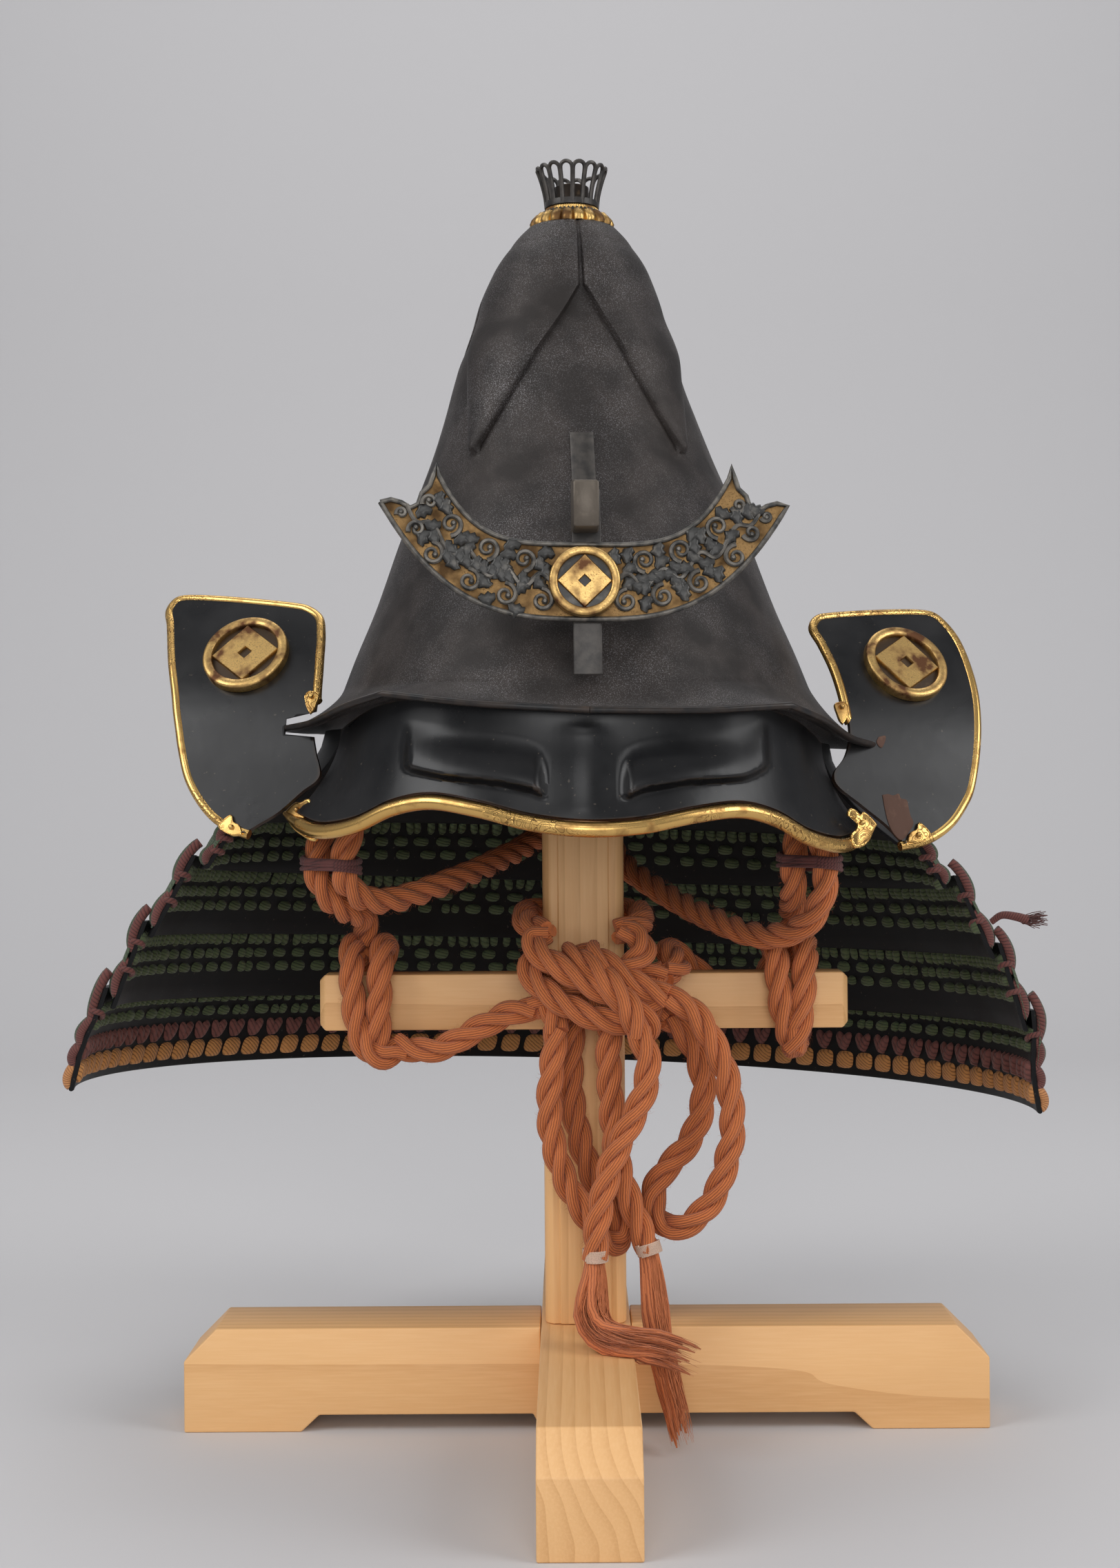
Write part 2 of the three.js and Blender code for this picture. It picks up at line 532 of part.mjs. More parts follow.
// a ring with a lozenge inside it that has a square hole, on a thin disc; its face looks along +Z
function medallion({ radius, band, hole, base, rise }) {
  const disc = new THREE.CylinderGeometry(radius - 0.4, radius - 0.4, base,
    MEDALLION_SIDES).rotateX(Math.PI / 2).translate(0, 0, base / 2);
  const ring = new THREE.LatheGeometry([[radius - band, base / 2], [radius, base / 2],
    [radius, base + rise * 0.6],
    [radius - band * 0.3, base + rise], [radius - band * 0.75, base + rise], [radius - band,
      base + rise * 0.6],
    [radius - band, base / 2]].map(([x, y]) => new THREE.Vector2(x, y)),
  MEDALLION_SIDES).rotateX(Math.PI / 2);
  const reach = radius - band + 0.3;
  const lozenge = shapeOf([[reach, 0], [0, reach], [-reach, 0], [0, -reach]]);
  lozenge.holes.push(new THREE.Path([[hole, 0], [0, -hole], [-hole, 0],
    [0, hole]].map(([x, y]) => new THREE.Vector2(x, y))));
  const raised = new THREE.ExtrudeGeometry(lozenge,
    { depth: base / 2 + rise * 0.7, bevelEnabled: false }).translate(0, 0, base / 2);
  return join(disc, ring, raised);
}

// ---- the crest ---------------------------------------------------------------------------------------
const crescentLow = (x) => CRESCENT.lowZ + CRESCENT.lowRise * (Math.abs(x) / CRESCENT.tipX) ** CRESCENT.lowPower;
const crescentTop = (x) => CRESCENT.topZ + CRESCENT.topRise * (Math.abs(x) / CRESCENT.topX) ** CRESCENT.topPower;

// the crescent's outline, drawn in by an inset
function crescentOutline(inset) {
  const tip = CRESCENT.tipX - inset * 2.2;
  const horn = CRESCENT.topX - inset * 0.3;
  const low = Array.from({ length: 21 }, (_, i) => -tip + (i / 20) * 2 * tip).map((x) => [x,
    crescentLow(x) + inset]);
  const top = Array.from({ length: 15 }, (_, i) => horn - (i / 14) * 2 * horn).map((x) => [x,
    crescentTop(x) - inset]);
  const right = CRESCENT_END.map(([x, z]) => [x - inset * 0.6, z - inset]);
  const left = right.map(([x, z]) => [-x, z]).reverse();
  return [...low, ...right, ...top, ...left];
}

// one curl of the scroll: a ribbon bent round most of a circle
function curl(x, z, radius, start, sweep, width) {
  const steps = 5;
  const arc = (r) => Array.from({ length: steps + 1 }, (_, i) => {
    const a = radians(start + (sweep * i) / steps);
    const reach = r * (1 - (0.2 * i) / steps);
    return [x + reach * Math.cos(a), z + reach * Math.sin(a)];
  });
  return shapeOf([...arc(radius + width / 2), ...arc(radius - width / 2).reverse()]);
}

// the border, a wavy vine from end to end, and a curl with a leaf in each bend of the vine
function crestScroll() {
  const { step, curls, wave, radius, line, reach } = SCROLL;
  const y0 = -GAP - CREST.relief;
  const raised = (shape) => slabXZ(shape, y0, -GAP);
  const border = shapeOf(crescentOutline(0));
  border.holes.push(new THREE.Path(crescentOutline(CREST_BORDER).reverse().map(([x, z]) => new THREE.Vector2(x, z))));
  const middle = (x) => (crescentLow(x) + Math.min(crescentTop(x), crescentLow(x) + 34)) / 2;
  const vine = (x) => middle(x) - wave * Math.cos((Math.PI * (Math.abs(x) - 2 * step)) / step);
  const xs = Array.from({ length: 31 }, (_, i) => mix(-reach, reach, i / 30));
  const ribbon = [...xs.map((x) => [x, vine(x) + line]), ...xs.reverse().map((x) => [x, vine(x) - line])];
  const pieces = [raised(border), raised(shapeOf(ribbon))];
  for (const sign of [-1, 1]) {
    for (let i = 0; i < curls; i++) {
      const x = sign * step * (i + 2);
      const up = i % 2 ? -1 : 1;
      const z = middle(x) + up * (radius - wave);
      pieces.push(raised(curl(x, z, radius, -90 * up, sign * up * 300, 2 * line)));
      const edge = up > 0 ? crescentTop(x) - 1 : crescentLow(x) + 1;
      const from = z + up * (radius * 0.9 - line);
      const leaf = [[x - 0.7, from], [x + 0.7, from], [x + 2.6, mix(from, edge, 0.5)], [x + 1, edge],
        [x - 1, edge], [x - 1.4, mix(from, edge, 0.5)]];
      pieces.push(raised(shapeOf(leaf)));
    }
  }
  return join(...pieces);
}

function crest() {
  const group = new THREE.Group();
  group.position.set(CREST.x, CREST.y, CREST.z);
  group.rotation.set(radians(-CREST.lean), radians(CREST.roll), 0);
  const ground = slabXZ(shapeOf(crescentOutline(0)), 0, CREST.plate);
  const medal = mesh('crest_medallion', medallion(CREST_MEDAL).rotateX(Math.PI / 2), 'gilt');
  medal.position.set(0, -2 * GAP - CREST.relief, 0.5);
  group.add(mesh('crest_crescent', ground, 'gilt'), mesh('crest_scroll', crestScroll(), 'patina'), medal);
  return group;
}

// the flat prong that carries the crescent, and the bracket on the bowl that carries the prong
function crestMount() {
  const { width, depth, low, high, y, slotLow, slotHigh, neck } = PRONG;
  const lean = Math.tan(radians(CREST.lean));
  const backOf = (z) => y + (z - CREST.z) * lean;
  const side = [[backOf(low), low], [backOf(low) + depth, low], [backOf(high) + depth, high],
    [backOf(high), high]];
  const slot = box(-neck / 2 - GAP, neck / 2 + GAP, y - 10, y + 20, slotLow - GAP, slotHigh + GAP);
  const prong = cut(slabYZ(side, -width / 2, width / 2), slot);
  const front = (z) => ovalPoint(z, 0, GAP).y;
  const w = HOOK.width / 2;
  const head = slabYZ([[HOOK.frontY, HOOK.low], [HOOK.frontY + HOOK.headDepth, HOOK.low],
    [HOOK.frontY + HOOK.headDepth, HOOK.high], [HOOK.frontY, HOOK.high]], -w, w);
  const arm = slabYZ([[HOOK.frontY + 1, slotLow], [front(slotLow) - 0.1, slotLow],
    [front(slotHigh) - 0.1, slotHigh], [HOOK.frontY + 1, slotHigh]], -neck / 2, neck / 2);
  const s = HOOK.strip;
  const strip = slabYZ([[front(slotLow) - 0.1, slotLow], [front(HOOK.stripTop) - 0.1, HOOK.stripTop],
    [front(HOOK.stripTop) - s, HOOK.stripTop], [front(slotLow) - s, slotLow]], -w, w);
  return [mesh('crest_prong', prong, 'bronze'), mesh('crest_hook', join(head, arm, strip), 'bronze')];
}

// ---- the neck guard ----------------------------------------------------------------------------------
// a point of a lame's outer face; u runs from the left end round the back to the right end, v from its
// upper edge down; out moves the point away from the face
function lamePoint(lame, u, v, out = 0) {
  const spread = v ** (lame.flare ?? 1);
  const w = mix(lame.wTop, lame.wLow, spread) + out;
  const d = mix(lame.dTop, lame.dLow, spread) + out;
  const start = Math.acos(-lame.endY / mix(lame.dTop, lame.dLow, spread));
  const a = mix(start, 2 * Math.PI - start, u);
  const y = -d * Math.cos(a);
  const back = THREE.MathUtils.clamp((y - lame.endY) / (d - lame.endY), 0, 1);
  const top = mix(lame.endTop, lame.backTop, back);
  const low = mix(lame.endLow, lame.backLow, back);
  return new THREE.Vector3(-w * Math.sin(a), y, mix(top, low, v));
}

function neckGuard() {
  const stations = Array.from({ length: LAME_STEPS + 1 }, (_, i) => i / LAME_STEPS);
  stations.splice(1, 0, LACE.end);
  stations.splice(-1, 0, 1 - LACE.end);
  const pieces = [];
  for (const lame of LAMES) {
    const grid = stations.map((u) => lame.rows.map((v) => lamePoint(lame, u, v)));
    pieces.push(mesh(lame.name, wall(grid, LACQUER, -1), 'lacquer'));
    if (lame === LAMES[0]) continue;
    const laced = stations.slice(1, -1).map((u) => [0.05,
      0.92].map((v) => lamePoint(lame, u, v, (lame.laceGap ?? LACE.gap) + LACE.thickness)));
    pieces.push(mesh(lame.name.replace('lame', 'lacing'), wall(laced, LACE.thickness, -1), 'green'));
  }
  return pieces;
}

// ---- the ropes ---------------------------------------------------------------------------------------
// Each route is a list of points by hand, in the frame of the whole object.
const ROUTES = {
  rope_drape_left: [[-86, -50, 300], [-91, -54, 286], [-98, -57, 270], [-101.5, -57.5, 258],
    [-102, -57, 248],
    [-96, -48, 239], [-86, -36, 236.5], [-75, -22, 238.5], [-64, -6, 242], [-52, 14, 246], [-40, 38, 251],
    [-29, 62, 256], [-20, 84, 262], [-13, 104, 272], [-9, 114.5, 286], [-8, 117, 299]],
  rope_drape_right: [[84, -52, 296], [90, -56, 284], [98, -58, 270], [102, -58.5, 258], [103, -58, 247],
    [101, -52, 235], [97, -46, 227], [90, -36, 221.5], [80, -22, 219], [72, -10, 220], [63, 5, 223],
    [53, 22, 227], [43, 42, 232], [32, 62, 238.5], [21, 84, 247], [12, 104, 262], [8, 115, 280], [7, 118,
      297]],
  rope_drop_left: [[-97, -38, 300], [-103, -40, 286], [-111, -44, 271], [-114, -46.5, 259],
    [-114.5, -47, 248],
    [-109, -42, 237], [-102, -29, 231], [-98.5, -15, 229], [-98, -6, 225], [-98, -1.6, 219.5], [-98, -1.5,
      214.9]],
  rope_drop_right: [[94, -38, 296], [96, -41, 282], [94, -45, 268], [91, -47, 258], [90.5, -46, 247],
    [91, -38, 238], [92, -26, 233.5], [93, -14, 230], [93.5, -6, 225.5], [93.5, -1.6, 219.5], [93.5, -1.5,
      214.9]],
  rope_lead_left: [[-83.6, -14.5, 171], [-76, -16.5, 169], [-63, -21.5, 170.5], [-51, -25, 177],
    [-38, -28, 184], [-30, -29.5, 187.3], [-21.9, -30, 188]],
  rope_lead_right: [[78.6, 12.8, 190.5], [66, 12.8, 192.5], [54, 12.8, 199], [46.5, 12.4, 206],
    [41, 8, 210],
    [38.5, 0, 211], [38.5, -9, 210.5], [40.5, -18, 208], [41.5, -25, 205], [35.8, -29.5, 203.5]],
  rope_wrap: [[-15.5, -30, 222], [-21.5, -25, 223.5], [-25.8, -14, 225.5], [-26, 0, 227.5], [-26, 14, 228],
    [-24.5, 21.5, 228], [-18, 25.5, 228], [-6, 25.5, 228], [6, 25.5, 228], [18, 25.5, 228], [24.5, 21.5,
      227.7],
    [26, 14, 227.5], [26, 0, 226.5], [25.8, -14, 225], [21.5, -25, 223], [15, -30, 222]],
  rope_hang_left: [[-12, -35, 180], [-14, -35, 165], [-15.5, -34.5, 150], [-15, -34, 136], [-12, -34, 123],
    [-7.5, -34, 111], [-1, -33.5, 100], [4.5, -32, 91], [9.5, -29.5, 85], [15, -26, 86], [15, -24, 93],
    [10, -23.2, 101], [4, -23, 112], [-1, -23, 125], [-4, -23, 138], [-6, -23, 152], [-6, -23, 166], [-5,
      -23, 180]],
  rope_hang_middle: [[23, -45, 180], [27, -46, 170], [27, -46, 160], [23.5, -46.5, 149], [18, -47, 138],
    [13, -47.5, 128], [9.5, -48, 118], [7, -48.5, 108], [5, -49, 98], [4, -49, 90], [4, -49, 83]],
  rope_hang_right: [[11, -34, 180], [10.5, -34, 166], [11, -33.5, 153], [12, -32.5, 139], [13.5, -32, 126],
    [16.5, -32.5, 113], [20, -34, 103], [24, -36, 93], [27.5, -38, 83]],
  rope_loop: [[36, -39, 194], [44, -39.5, 190.5], [51, -39.5, 183], [57, -39.5, 172], [61.5, -39.5, 160],
    [63.5, -39, 147], [64, -38, 135], [61.5, -37, 122], [58, -36.5, 111], [52, -36, 101], [44, -35.5, 94.5],
    [37, -30.5, 92], [31, -25.5, 97], [30, -23.5, 106], [34.5, -23.2, 115], [41, -23.2, 122], [47, -23.2,
      130],
    [51, -23.2, 140], [52.5, -23.2, 150], [51.5, -23.6, 160], [48, -24.5, 170], [43, -26, 178], [36.5,
      -28, 184]],
};
const ROPE_STEPS = 18; // millimetres of rope to one straight stretch of its solid

function rope(name, route) {
  const path = new THREE.CatmullRomCurve3(route.map((p) => new THREE.Vector3(...p)), false, 'centripetal');
  const section = shapeOf(Array.from({ length: 8 }, (_, i) => {
    const a = ((i + 0.5) / 8) * 2 * Math.PI;
    return [(ROPE / 2) * Math.cos(a), (ROPE / 2) * Math.sin(a)];
  }));
  const steps = Math.round(path.getLength() / ROPE_STEPS);
  return mesh(name, new THREE.ExtrudeGeometry(section, { steps, extrudePath: path, bevelEnabled: false }),
    'rope');
}

// the outer shape of two turns of rope round the crossbar: a thick band
function hitch(name, x0, x1) {
  const { height, thickness, centreZ, frontY } = CROSSBAR;
  const rect = (grow, corner) => {
    const [a, b] = [thickness / 2 + grow, height / 2 + grow];
    return [[a - corner, b], [-a + corner, b], [-a, b - corner], [-a, -b + corner], [-a + corner, -b],
      [a - corner, -b], [a, -b + corner], [a, b - corner]];
  };
  const band = (x, grow, corner) => rect(grow, corner).map(([y, z]) => new THREE.Vector3(x,
    frontY + thickness / 2 + y, centreZ + z));
  const outer = loft([band(x0, ROPE - 3, 7), band(x0 + 4, ROPE, 8), band(x1 - 4, ROPE, 8),
    band(x1, ROPE - 3, 7)]);
  return mesh(name, cut(outer, loft([band(x0 - 1, GAP, 0.1), band(x1 + 1, GAP, 0.1)])), 'rope');
}

// the knot round the front of the post, as the rounded block that its turns fill
function knot() {
  const rows = [[181.5, 0.78], [186, 0.95], [193, 1], [202, 1], [210, 0.93], [215, 0.8]];
  const centre = [6, -32];
  const half = [27, 14.5];
  return mesh('rope_knot', loft(rows.map(([z, share]) => Array.from({ length: 16 }, (_, i) => {
    const a = ((i + 0.5) / 16) * 2 * Math.PI;
    const round = (v) => Math.sign(v) * Math.abs(v) ** 0.6;
    return new THREE.Vector3(centre[0] + half[0] * share * round(Math.cos(a)),
      centre[1] + half[1] * share * round(Math.sin(a)), z);
  }))), 'rope');
}

// the braid that binds two strands side by side
function binding(name, a, b) {
  const [p, q] = [new THREE.Vector3(...a), new THREE.Vector3(...b)];
  const half = p.distanceTo(q) / 2;
  const turn = Math.atan2(q.y - p.y, q.x - p.x);
  const stadium = (r) => Array.from({ length: 16 }, (_, i) => {
    const t = ((i + 0.5) / 16) * 2 * Math.PI;
    return [Math.sign(Math.cos(t)) * half + r * Math.cos(t), r * Math.sin(t)];
  });
  const shape = shapeOf(stadium(ROPE / 2 + BIND.clear + BIND.wall));
  shape.holes.push(new THREE.Path(stadium(ROPE / 2 + BIND.clear).reverse().map(([x, y]) => new THREE.Vector2(x, y))));
  const geometry = new THREE.ExtrudeGeometry(shape, { depth: BIND.height, bevelEnabled: false });
  geometry.translate(0, 0, -BIND.height / 2).rotateZ(turn).translate((p.x + q.x) / 2, (p.y + q.y) / 2,
    (p.z + q.z) / 2);
  return mesh(name, geometry, 'maroon');
}

// a tassel: a bound head and a few thick locks that follow one line and spread from it
function tassel(name, line, spread, lowest) {
  const path = new THREE.CatmullRomCurve3(line.map((p) => new THREE.Vector3(...p)), false, 'centripetal');
  const steps = 6;
  const locks = [0, 1, 2, 3, 4].map((k) => {
    const angle = (k / 4) * 2 * Math.PI;
    const points = Array.from({ length: steps + 1 }, (_, i) => {
      const t = i / steps;
      const radius = k === 4 ? 0 : mix(1.6, spread, Math.min(1, 2 * t));
      const p = path.getPoint(t).add(new THREE.Vector3(radius * Math.cos(angle),
        radius * Math.sin(angle) * 0.8, 0));
      return p.setZ(Math.max(p.z, lowest(p) + 2.9));
    });
    const sizes = points.map((_, i) => (i < steps ? [5.4, 5.4] : [2.4, 2.4]));
    return bar(points, sizes, [new THREE.Vector3(0.2, 1, 0.1)], 6);
  });
  const top = path.getPoint(0);
  const head = new THREE.CylinderGeometry(4.4, 5, 9, 10).rotateX(Math.PI / 2).translate(top.x, top.y,
    top.z - 1.5);
  return mesh(name, join(head, ...locks), 'rope');
}

function ropes() {
  const pieces = Object.entries(ROUTES).map(([name, route]) => rope(name, route));
  const beamTop = BEAM.height + GAP;
  const onBeam = (p) => (Math.abs(p.x) < BEAM.width / 2 + 4 ? beamTop : 0);
  pieces.push(hitch('rope_hitch_left', -108, -84), hitch('rope_hitch_right', 80, 106), knot());
  pieces.push(binding('rope_binding_left', [-101.8, -57.3, 253], [-114.3, -46.9, 253]));
  pieces.push(binding('rope_binding_right', [102.5, -58.4, 253], [90.7, -46.6, 253]));
  pieces.push(tassel('tassel_left', [[4, -49, 78], [3, -52, 68], [3, -56, 59], [7, -60, 53],
    [16, -65, 50.5],
    [28, -66, 49], [38, -65, 46], [46, -62, 41]], 5, onBeam));
  pieces.push(tassel('tassel_right', [[28.5, -38.5, 78], [30, -41, 66], [31, -43, 54], [32.5, -45, 42],
    [35, -48, 30],
    [38, -52, 19], [40, -55, 10], [42, -57, 4]], 3.6, () => 0));
  return pieces;
}

// ---- the whole ---------------------------------------------------------------------------------------
const lower = new THREE.Group(); // everything that hangs below the bowl, rolled about the brim
lower.position.set(0, 0, HELMET.rollCentreZ);
lower.rotation.y = radians(HELMET.roll);
const lowered = new THREE.Group();
lowered.position.z = -HELMET.rollCentreZ;
lowered.add(...visor(), ...ear('left', EAR_LEFT, EAR_MEDAL_AT.left),
  ...ear('right', EAR_RIGHT, EAR_MEDAL_AT.right),
  ...neckGuard());
lower.add(lowered);

const helmet = new THREE.Group();
helmet.position.x = HELMET.x;
helmet.rotation.z = radians(HELMET.turn);
helmet.add(bowl(), ...topFitting(), crest(), ...crestMount(), lower);

const kabuto = new THREE.Group();
kabuto.add(...stand(), helmet, ...ropes());

export default kabuto;
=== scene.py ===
import math
import random

import bmesh
import bpy
from mathutils import Matrix, Vector


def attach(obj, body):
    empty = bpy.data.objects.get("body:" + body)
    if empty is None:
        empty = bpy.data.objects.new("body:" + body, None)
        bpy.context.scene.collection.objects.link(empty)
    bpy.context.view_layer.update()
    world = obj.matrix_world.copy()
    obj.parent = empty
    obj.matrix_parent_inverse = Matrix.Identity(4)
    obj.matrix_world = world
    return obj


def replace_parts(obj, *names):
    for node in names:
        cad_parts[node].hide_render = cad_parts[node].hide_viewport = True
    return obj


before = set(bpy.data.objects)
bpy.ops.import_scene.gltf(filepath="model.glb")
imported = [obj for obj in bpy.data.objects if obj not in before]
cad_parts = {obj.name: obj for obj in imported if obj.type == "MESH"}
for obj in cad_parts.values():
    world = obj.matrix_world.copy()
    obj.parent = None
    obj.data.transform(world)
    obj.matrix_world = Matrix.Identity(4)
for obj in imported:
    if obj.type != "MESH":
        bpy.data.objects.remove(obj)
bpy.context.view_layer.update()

MM = 0.001
ROPE_DIAMETER = 12 * MM
ROPE_PITCH = 42 * MM  # one full turn of a strand

# ---- frames of the helmet, as in the part --------------------------------------------------------
HELMET = Matrix.Translation((-2.5 * MM, 0, 0)) @ Matrix.Rotation(math.radians(2), 4, "Z")
LOWER = (
    HELMET
    @ Matrix.Translation((0, 0, 300 * MM))
    @ Matrix.Rotation(math.radians(2), 4, "Y")
    @ Matrix.Translation((0, 0, -300 * MM))
)
CREST = (
    HELMET
    @ Matrix.Translation((-1.2 * MM, -125.5 * MM, 366 * MM))
    @ Matrix.Rotation(math.radians(-8), 4, "X")
    @ Matrix.Rotation(math.radians(0.8), 4, "Y")
)


# ---- camera, floor and light ---------------------------------------------------------------------
def add_camera():
    data = bpy.data.cameras.new("camera")
    data.lens = 48.6
    data.sensor_width = 36
    data.clip_end = 20
    camera = bpy.data.objects.new("camera", data)
    bpy.context.scene.collection.objects.link(camera)
    yaw, pitch, roll = 0.0046, 0.0026, -0.0071
    forward = Vector((-math.sin(yaw) * math.cos(pitch), math.cos(yaw) * math.cos(pitch),
                      -math.sin(pitch)))
    right = forward.cross(Vector((0, 0, 1))).normalized()
    up = right.cross(forward)
    side = right * math.cos(roll) + up * math.sin(roll)
    top = up * math.cos(roll) - right * math.sin(roll)
    turn = Matrix((side, top, -forward)).transposed().to_4x4()
    camera.matrix_world = Matrix.Translation((-5.6 * MM, -958 * MM, 289.3 * MM)) @ turn
    bpy.context.scene.camera = camera


def area_light(name, place, aim, size, power, colour=(1, 1, 1)):
    data = bpy.data.lights.new(name, "AREA")
    data.shape = "RECTANGLE"
    data.size, data.size_y = size
    data.energy = power
    data.color = colour
    light = bpy.data.objects.new(name, data)
    light.location = place
    light.rotation_euler = (Vector(aim) - Vector(place)).to_track_quat("-Z", "Y").to_euler()
    bpy.context.scene.collection.objects.link(light)


def add_studio():
    reach, sweep, height = 3.0, 1.0, 3.0
    profile = [(-reach, 0), (1.2, 0)]
    profile += [(1.2 + sweep * math.sin(a),
                 sweep - sweep * math.cos(a)) for a in [math.radians(7.5 * i)
                                                        for i in range(1, 13)]]
    profile.append((1.2 + sweep, height))
    points = [(x, y, z) for y, z in profile for x in (-reach, reach)]
    faces = [(2 * i, 2 * i + 1, 2 * i + 3, 2 * i + 2) for i in range(len(profile) - 1)]
    mesh = bpy.data.meshes.new("floor")
    mesh.from_pydata(points, [], faces)
    mesh.polygons.foreach_set("use_smooth", [True] * len(faces))
    floor = bpy.data.objects.new("floor", mesh)
    bpy.context.scene.collection.objects.link(floor)
    material = plain_material("floor", (0.57, 0.56, 0.565), 0.9)[0]
    mesh.materials.append(material)
    area_light("softbox_left", (-1.7, -1.0, 1.5), (0, 0, 0.3), (1.2, 1.5), 23)
    area_light("softbox_right", (1.8, -0.8, 1.2), (0, 0, 0.3), (1.1, 1.5), 20)
    area_light("overhead", (0, 0.3, 2.2), (0, 0, 0.2), (1.6, 1.6), 7)
    area_light("front_high", (0, -1.7, 1.9), (0, 0, 0.3), (1.0, 0.7), 6)
    area_light("front_low", (0.1, -2.4, 0.75), (0, 0, 0.25), (1.4, 0.9), 15)
    area_light("backdrop_wash", (0, 0.9, 2.4), (0, 1.9, 0.7), (2.6, 0.6), 14)
    world = bpy.data.worlds.new("studio")
    world.use_nodes = True
    world.node_tree.nodes["Background"].inputs["Color"].default_value = (0.9, 0.93, 1, 1)
    world.node_tree.nodes["Background"].inputs["Strength"].default_value = 0.24
    bpy.context.scene.world = world
    bpy.context.scene.view_settings.view_transform = "Standard"


# ---- shader helpers ------------------------------------------------------------------------------
def add_node(tree, kind, **values):
    made = tree.nodes.new("ShaderNode" + kind)
    for name, value in values.items():
        if name in made.inputs:
            made.inputs[name].default_value = value
        else:
            setattr(made, name, value)
    return made


def plain_material(name, colour, roughness, metallic=0.0):
    material = bpy.data.materials.new(name)
    material.use_nodes = True
    tree = material.node_tree
    shader = tree.nodes["Principled BSDF"]
    shader.inputs["Base Color"].default_value = (*colour, 1)
    shader.inputs["Roughness"].default_value = roughness
    shader.inputs["Metallic"].default_value = metallic
    return material, tree, shader


def make_group(name, inputs, outputs):
    """A shader group; inputs maps a name to its default (a number, or None for a vector)."""
    group = bpy.data.node_groups.new(name, "ShaderNodeTree")
    for label, default in inputs.items():
        kind = "NodeSocketVector" if default is None else "NodeSocketFloat"
        socket = group.interface.new_socket(name=label, in_out="INPUT", socket_type=kind)
        if default is not None:
            socket.default_value = default
    for label in outputs:
        group.interface.new_socket(name=label, in_out="OUTPUT", socket_type="NodeSocketFloat")
    return group, group.nodes.new("NodeGroupInput"), group.nodes.new("NodeGroupOutput")


def place(tree, group, **values):
    made = tree.nodes.new("ShaderNodeGroup")
    made.node_tree = group
    for name, value in values.items():
        made.inputs[name.replace("_", " ").capitalize()].default_value = value
    return made


def math_node(tree, operation, a, b=None):
    made = add_node(tree, "Math", operation=operation)
    for index, value in enumerate((a, b)):
        if value is None:
            continue
        if isinstance(value, (int, float)):
            made.inputs[index].default_value = value
        else:
            tree.links.new(value, made.inputs[index])
    return made.outputs[0]


def mix_colours(tree, share, first, second):
    made = add_node(tree, "Mix", data_type="RGBA")
    for socket, value in ((made.inputs[0], share), (made.inputs[6], first),
                          (made.inputs[7], second)):
        if isinstance(value, bpy.types.NodeSocket):
            tree.links.new(value, socket)
        else:
            socket.default_value = value if isinstance(value, (int, float)) else (*value, 1)
    return made.outputs[2]


def spread(tree, value, low, high):
    """Stretches a value so that low gives 0 and high gives 1."""
    made = add_node(tree, "MapRange")
    tree.links.new(value, made.inputs["Value"])
    for name, end in (("From Min", low), ("From Max", high)):
        if isinstance(end, bpy.types.NodeSocket):
            tree.links.new(end, made.inputs[name])
        else:
            made.inputs[name].default_value = end
    return made.outputs["Result"]


def object_place(tree):
    return add_node(tree, "TexCoord").outputs["Object"]


def bump(tree, shader, height, strength, distance, before=None):
    made = add_node(tree, "Bump", Strength=strength, Distance=distance)
    tree.links.new(height, made.inputs["Height"])
    if before is not None:
        tree.links.new(before, made.inputs["Normal"])
    tree.links.new(made.outputs["Normal"], shader.inputs["Normal"])
    return made.outputs["Normal"]


def blotch_group():
    """Cloudy patches: 0 below low, 1 above high."""
    group, source, sink = make_group("blotches",
                                     {"Scale": 40, "Detail": 4, "Low": 0.45, "High": 0.6,
                                      "Stretch": None}, ["Mask"])
    scaled = add_node(group, "VectorMath", operation="MULTIPLY")
    group.links.new(object_place(group), scaled.inputs[0])
    group.links.new(source.outputs["Stretch"], scaled.inputs[1])
    noise = add_node(group, "TexNoise")
    group.links.new(scaled.outputs[0], noise.inputs["Vector"])
    group.links.new(source.outputs["Scale"], noise.inputs["Scale"])
    group.links.new(source.outputs["Detail"], noise.inputs["Detail"])
    mask = spread(group, noise.outputs["Fac"], source.outputs["Low"], source.outputs["High"])
    group.links.new(mask, sink.inputs["Mask"])
    return group


def edge_wear_group():
    """Where an edge stands proud and the rubbing is patchy."""
    group, source, sink = make_group("edge_wear", {"Low": 0.52, "High": 0.6, "Scale": 150},
                                     ["Mask"])
    point = add_node(group, "NewGeometry").outputs["Pointiness"]
    proud = spread(group, point, source.outputs["Low"], source.outputs["High"])
    noise = add_node(group, "TexNoise", Detail=5.0)
    group.links.new(object_place(group), noise.inputs["Vector"])
    group.links.new(source.outputs["Scale"], noise.inputs["Scale"])
    patchy = spread(group, noise.outputs["Fac"], 0.35, 0.6)
    group.links.new(math_node(group, "MULTIPLY", proud, patchy), sink.inputs["Mask"])
    return group


